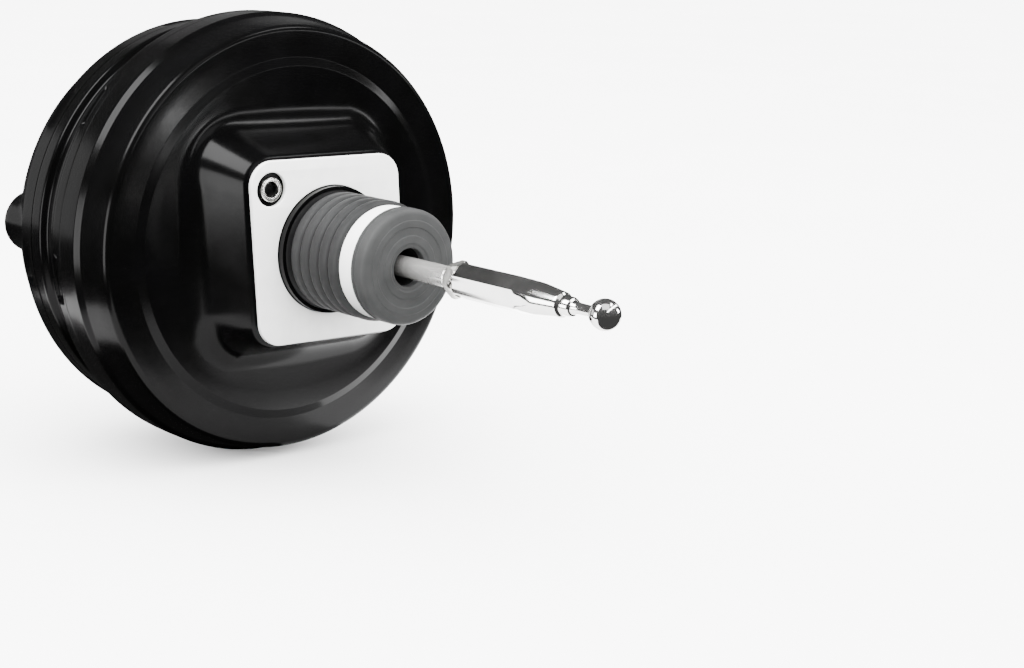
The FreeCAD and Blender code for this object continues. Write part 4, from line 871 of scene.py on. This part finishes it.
def makeRod():
    start, end = nutSizes["start"], nutSizes["end"]
    nut = [(start, 8.2, True), (start, 8.9, True), (start - 0.5, 9.5, True), (start - 1.1, 10.4, True),
           (end + 1.1, 10.4, True), (end + 0.5, 9.5, True), (end, 8.9, True), (end, 8.2, True)]
    piece = makeBar("lockNut", nut, nutSizes["flats"], nutSizes["turned"], zinc, "input_rod")
    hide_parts("lock_nut")
    start, taper, end, tip = (sleeveSizes[k] for k in ("start", "taper", "end", "tip"))
    corner = sleeveSizes["flats"] / 2 / math.cos(math.pi / 6)
    sleeve = [(start, 7.6, True), (start, 8.3, True), (start - 0.5, 8.9, True), (start - 1.2, corner, True)]
    for k in range(25):
        share = k / 24
        sleeve.append((taper + (end - taper) * share,
                       corner + (tip - corner) * share ** sleeveSizes["hollow"], True))
    sleeve += [(-191.4, 6.3, False), (-192, 5.6, False), (-192.6, 5.2, False), (-197.2, 5.0, False),
               (-198.4, 4.5, False), (-199, 3.6, False), (-200.2, 3.2, False), (-204, 3.0, False),
               (-212.6, 2.9, False)]
    shank = makeBar("ballSleeve", sleeve, sleeveSizes["flats"], sleeveSizes["turned"], bright, "input_rod")
    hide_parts("ball_sleeve")
    radius = sleeveSizes["ballRadius"]
    bends = [math.pi * (0.12 + 0.88 * k / 40) for k in range(41)]  # from the neck to the tip
    section = [(max(0.01, radius * math.sin(a)), sleeveSizes["ball"] + radius * math.cos(a)) for a in bends]
    section.insert(0, (0.01, section[0][1]))
    mesh = bmesh.new()
    addSwept(mesh, lambda angle: section, evenAngles(96))
    bmesh.ops.remove_doubles(mesh, verts=mesh.verts, dist=2.5e-5)
    bmesh.ops.delete(mesh, geom=[edge for edge in mesh.edges if not edge.link_faces], context="EDGES")
    makeObject("ballEnd", mesh, bright, "input_rod", 60)


makeRod()
print("rod made")


winding = windingGraph(zinc)


thread = {"turns": 10.0, "coil": 7.5, "wire": 0.48, "start": 186.6, "length": 11.0}


# The two tie tubes, with a flanged and threaded stud at the front.
def makeTubes():
    for name, node, sign in (("upperTieTube", "upper_tie_tube", -1), ("lowerTieTube", "lower_tie_tube", 1)):
        centre = (sign * tie["across"], -sign * tie["up"])
        corners = [
            (4.4, 0, 0.3), (6.8, 0, 0.7), (6.8, 3.6, 0.4), (8, 5, 0.4), (8, 7.4), (12, 7.4, 0.3),
            (12, 10.4, 0.4), (8, 10.4), (8, 181), (10.5, 181, 0.3), (10.5, 184, 0.9), (8.2, 184.6, 0.5),
            (7.4, 185.6, 0.4), (7.4, 198, 0.8), (6.4, 199, 0.3), (4.4, 199, 0.5)]
        tube = lathe(name, corners, zinc, "housing", 72, centre)
        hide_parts(node)
        ridge = bakeGraph(name + "Thread", winding, {
            "Turns": thread["turns"], "Coil": thread["coil"] * mm, "Wire": thread["wire"] * mm,
            "Start": thread["start"] * mm, "Length": thread["length"] * mm, "Sides": 3, "Steps": 36},
            zinc, None, 30)
        ridge.data.transform(Matrix.Translation(Vector((centre[0], 0, centre[1])) * mm))
        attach(ridge, "housing")


springs = {
    "returnSpring": {"node": "return_spring", "coil": 34.6, "wire": 2, "start": 109.6, "end": 178,
                     "turns": 5.0, "rear": "power_piston", "front": "housing"},
    "rodReturnSpring": {"node": "rod_return_spring", "coil": 10.6, "wire": 0.7, "start": -13.4, "end": -7,
                        "turns": 3.0, "rear": "valve_plunger", "front": "power_piston"},
    "poppetSpring": {"node": "poppet_spring", "coil": 13.8, "wire": 0.6, "start": 2.2, "end": 15.6,
                     "turns": 4.0, "rear": "power_piston", "front": "power_piston"},
}


# Coil springs. One that sits between two bodies is attached to neither.
def makeSprings():
    for name, spring in springs.items():
        start, end, wire = spring["start"], spring["end"], spring["wire"]
        between = spring["rear"] != spring["front"]
        coil = bakeGraph(name, winding, {
            "Turns": spring["turns"], "Coil": spring["coil"] * mm, "Wire": wire * mm,
            "Start": (start + wire) * mm, "Length": (end - start - 2 * wire) * mm, "Sides": 12, "Steps": 40},
            looks["spring_steel"], None if between else spring["rear"], 60)
        if between:
            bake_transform(coil)
        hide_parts(spring["node"])


makeTubes()
makeSprings()
print("tubes and springs made")


# The rod turns about the pivot, and swing is its slope at the furthest.
foam = {"outer": 22.5, "edge": 0.8, "rod": 5.75, "pivot": 30, "swing": 0.0436,
        "rings": (("silencerRing", "silencer", -66, -52), ("filterRing", "air_filter", -52, -32))}


# The two foam rings in the tail. Their bores widen rearwards, so the rod can swing in them.
def makeFoam():
    outer, edge = foam["outer"], foam["edge"]
    for name, node, start, end in foam["rings"]:
        startBore, endBore = (foam["rod"] + (foam["pivot"] - y) * foam["swing"] for y in (start, end))
        ring = lathe(name, [
            (startBore, start, edge), (outer, start, edge), (outer, end, edge), (endBore, end, edge)],
            looks["filter_foam"], "power_piston", 96)
        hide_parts(node)


makeFoam()
print("foam rings made")


diaphragms = {
    "rearDiaphragm": {"node": "rear_diaphragm", "hub": 32, "web": 46.4, "edge": 110, "fold": 119,
                      "bead": 62.5, "outer": 127.4},
    "frontDiaphragm": {"node": "front_diaphragm", "hub": 30, "web": 106, "edge": 101, "fold": 110,
                       "bead": 128, "outer": 119.4},
}
rubber = {"skin": 1.6, "roll": 13, "beadLength": 5.5, "beadWidth": 3.6}


# Diaphragms: a web at the plate and a bead at the joint of the shells, attached to no body.
def makeDiaphragms():
    skin = rubber["skin"]
    for name, sizes in diaphragms.items():
        hub, web, edge, fold = (sizes[k] for k in ("hub", "web", "edge", "fold"))
        bead, outer, roll = sizes["bead"], sizes["outer"], web + rubber["roll"]
        inner, tip = outer - rubber["beadWidth"], bead + rubber["beadLength"]
        piece = lathe(name, [
            (hub, web), (edge + skin, web, 1.5), (edge + skin, roll - skin, 1.5),
            (fold + skin, roll - skin, 1.5), (fold + skin, bead, 1.5), (outer, bead, 1),
            (outer, tip, 1), (inner, tip, 1), (inner, bead + skin, 0.5),
            (fold, bead + skin, 1.5), (fold, roll, 1.5), (edge, roll, 1.5), (edge, web + skin, 0.5),
            (hub, web + skin)], looks["black_rubber"], None, 128)
        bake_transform(piece)
        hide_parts(sizes["node"])


makeDiaphragms()
print("diaphragms made")


tag = {"ring": 11, "hole": 6.4, "width": 8, "reach": 33, "turn": 57, "low": 171, "high": 173, "round": 0.6}


# The eyelet in front of the port and its strip, cut from one flat sheet.
def makeTag():
    half = tag["width"] / 2 - tag["round"]
    ringRadius = tag["ring"] - tag["round"]
    neck = math.asin((half + 0.4) / ringRadius)
    outline = []
    for k in range(73):
        angle = neck + (2 * math.pi - 2 * neck) * k / 72
        outline.append(Vector((ringRadius * math.cos(angle), ringRadius * math.sin(angle))))
    end = tag["reach"] - tag["round"]
    for along, side in ((14, -half), (end - 7, -half), (end - 4, -half - 0.2), (end - 0.8, -half + 0.6),
                        (end, -half + 1.6), (end - 1.2, 0), (end, half - 1.6), (end - 0.8, half - 0.6),
                        (end - 4, half + 0.2), (end - 7, half), (14, half)):
        outline.append(Vector((along, side)))
    hole = [Vector(((tag["hole"] + tag["round"]) * math.cos(a), (tag["hole"] + tag["round"]) * math.sin(a)))
            for a in evenAngles(72)]
    turn = Matrix.Rotation(math.radians(-tag["turn"]), 2)
    centre = Vector((port["across"], port["up"]))
    loops = [[centre + turn @ spot for spot in loop] for loop in (outline, hole)]
    mesh = flatPiece("tag", loops, tag["low"], tag["high"], tag["round"])
    return makeObject("portTag", mesh, pale, "housing", 40)


def makePort():
    grommet = lathe("vacuumGrommet", [
        (6, 169.8, 0.7), (13.6, 169.8, 0.8), (13.6, 168, 0.3), (11, 168), (11, 166), (13.2, 166, 0.5),
        (11, 162, 1), (6, 162, 0.6)], looks["black_rubber"], "housing", 96, (port["across"], port["up"]))
    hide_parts("vacuum_grommet")
    eyelet = makeTag()
    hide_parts("port_tag")


makePort()
print("port made")


# Camera, at the place that the photograph was taken from
shot = {"azimuth": -40.015, "elevation": 10.693, "roll": 1.586, "aim": (-61.496, -23.229, 1100.4),
        "lens": 68.61, "shift": (0.0703, -0.043)}


def makeCamera():
    azimuth, elevation, roll = (math.radians(shot[k]) for k in ("azimuth", "elevation", "roll"))
    back = Vector((math.sin(azimuth) * math.cos(elevation), -math.cos(azimuth) * math.cos(elevation),
                   math.sin(elevation)))
    level = Vector((math.cos(azimuth), math.sin(azimuth), 0))
    rise = back.cross(level)
    right = level * math.cos(roll) + rise * math.sin(roll)
    up = rise * math.cos(roll) - level * math.sin(roll)
    across, down, depth = shot["aim"]
    place = -(right * across - up * down - back * depth)
    camera = bpy.data.objects.new("camera", bpy.data.cameras.new("camera"))
    camera.data.lens = shot["lens"]
    camera.data.shift_x, camera.data.shift_y = shot["shift"]
    camera.data.sensor_width = 36
    camera.data.clip_start = 0.01
    turn = Matrix((right, up, back)).transposed().to_4x4()
    camera.matrix_world = Matrix.Translation(place * mm) @ turn
    scene.collection.objects.link(camera)
    scene.camera = camera


# Soft panels. All show in the paint and the chrome alone, apart from one that lights what is matt.
def makeLight(name, place, aim, size, power, matt=False):
    light = bpy.data.lights.new(name, "AREA")
    light.shape = "RECTANGLE"
    light.size, light.size_y = size
    light.energy = power
    obj = bpy.data.objects.new(name, light)
    way = Vector(aim) - Vector(place)
    obj.matrix_world = Matrix.Translation(place) @ way.to_track_quat("-Z", "Y").to_matrix().to_4x4()
    obj.visible_camera = False
    obj.visible_diffuse = matt
    obj.visible_glossy = not matt
    scene.collection.objects.link(obj)


studio = {
    "sky": 9.0, "ground": 0.3, "mirrored": 0.07, "floorSize": 30, "floorGap": 0.0005,
    "table": {"limits": (-0.27, 0.5, -0.185, 0.32), "gap": 0.0004, "tone": 0.6},
    # near-black sheet under the drum: a painted shadow, seen only in reflections
    "paintedShadow": {"limits": (-0.18, 0.0, 0.02, 0.32), "gap": 0.0002, "tone": 0.01},
}


# A flat sheet on the floor, which only the gloss of the paint and the chrome sees. The near-black one under
# the drum is a painted shadow in those reflections.
def makeSheet(name, low):
    left, right, near, far = studio[name]["limits"]
    height, tone = low - studio[name]["gap"], studio[name]["tone"]
    mesh = bmesh.new()
    corners = ((left, near), (right, near), (right, far), (left, far))
    mesh.faces.new([mesh.verts.new((x, y, height)) for x, y in corners])
    look = Nodes(name, (tone, tone, tone), 0.9, specular=0.0)
    sheet = makeObject(name, mesh, look.material, None)
    sheet.visible_camera = False
    sheet.visible_diffuse = False
    sheet.visible_shadow = False


# A sky that fades to a dim ground. It lights what is matt, and the gloss sees little of it.
def makeWorld():
    world = bpy.data.worlds.new("studio")
    world.use_nodes = True
    tree = world.node_tree
    way = tree.nodes.new("ShaderNodeSeparateXYZ")
    tree.links.new(tree.nodes.new("ShaderNodeTexCoord").outputs["Generated"], way.inputs[0])
    fade = tree.nodes.new("ShaderNodeMapRange")
    for socket, value in (("From Min", -0.2), ("From Max", 0.2), ("To Min", studio["ground"]),
                          ("To Max", studio["sky"])):
        fade.inputs[socket].default_value = value
    tree.links.new(way.outputs["Z"], fade.inputs["Value"])
    strength = tree.nodes.new("ShaderNodeMapRange")
    strength.inputs["To Max"].default_value = studio["mirrored"]
    tree.links.new(fade.outputs["Result"], strength.inputs["To Min"])
    tree.links.new(tree.nodes.new("ShaderNodeLightPath").outputs["Is Glossy Ray"], strength.inputs["Value"])
    tree.nodes["Background"].inputs["Color"].default_value = (1, 1, 1, 1)
    tree.links.new(strength.outputs["Result"], tree.nodes["Background"].inputs["Strength"])
    scene.world = world


def makeStudio():
    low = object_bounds()[0][2]
    mesh = bmesh.new()
    bmesh.ops.create_grid(mesh, x_segments=1, y_segments=1, size=studio["floorSize"])
    bmesh.ops.translate(mesh, vec=(0, 0, low - studio["floorGap"]), verts=mesh.verts)
    floorLook = Nodes("floor", (0.9, 0.9, 0.9), 0.8, specular=0.1)
    floorLook.colour(floorLook.noise(3, 3), (0.90, 0.90, 0.90), (0.93, 0.93, 0.93))
    floor = makeObject("floor", mesh, floorLook.material, None)
    floor.visible_diffuse = False
    floor.visible_glossy = False
    makeSheet("table", low)
    # the painted shadow under the drum
    makeSheet("paintedShadow", low)
    makeWorld()
    makeLight("ceiling", (-0.4, -0.4, 2.4), (0, 0, 0), (2.5, 2.5), 120, matt=True)
    makeLight("leftLow", (-0.52, 0.06, 0.0), (0, 0.02, 0.0), (0.24, 0.24), 2.4)
    makeLight("leftHigh", (-0.42, 0.05, 0.50), (-0.06, 0.03, 0.057), (0.3, 0.40), 9)
    makeLight("topStrip", (0.55, -0.45, 0.95), (0, 0.04, 0), (0.5, 0.12), 4)
    makeLight("frontStrip", (0.18, -0.32, 0.19), (-0.02, 0.036, 0.05), (0.8, 0.04), 1.4)
    makeLight("ballPanel", (-0.066, -0.30, 0.28), (0, -0.218, 0), (0.24, 0.24), 0.4)
    makeLight("frontSpot", (0.115, -0.27, 0.035), (-0.09, 0.037, 0.067), (0.035, 0.035), 0.12)
    makeLight("floorGlow", (0.15, 0.02, low + 0.002), (0.15, 0.02, 1), (0.2, 0.2), 0.8)
    makeLight("backLeft", (-0.8, 1.3, 0.2), (-0.1, 0.08, 0.0), (0.9, 0.7), 3)
    makeLight("backSoft", (0.9, 1.8, 0.9), (0, 0.1, 0), (1.0, 1.0), 0.8)


makeCamera()
makeStudio()
print("scene made")
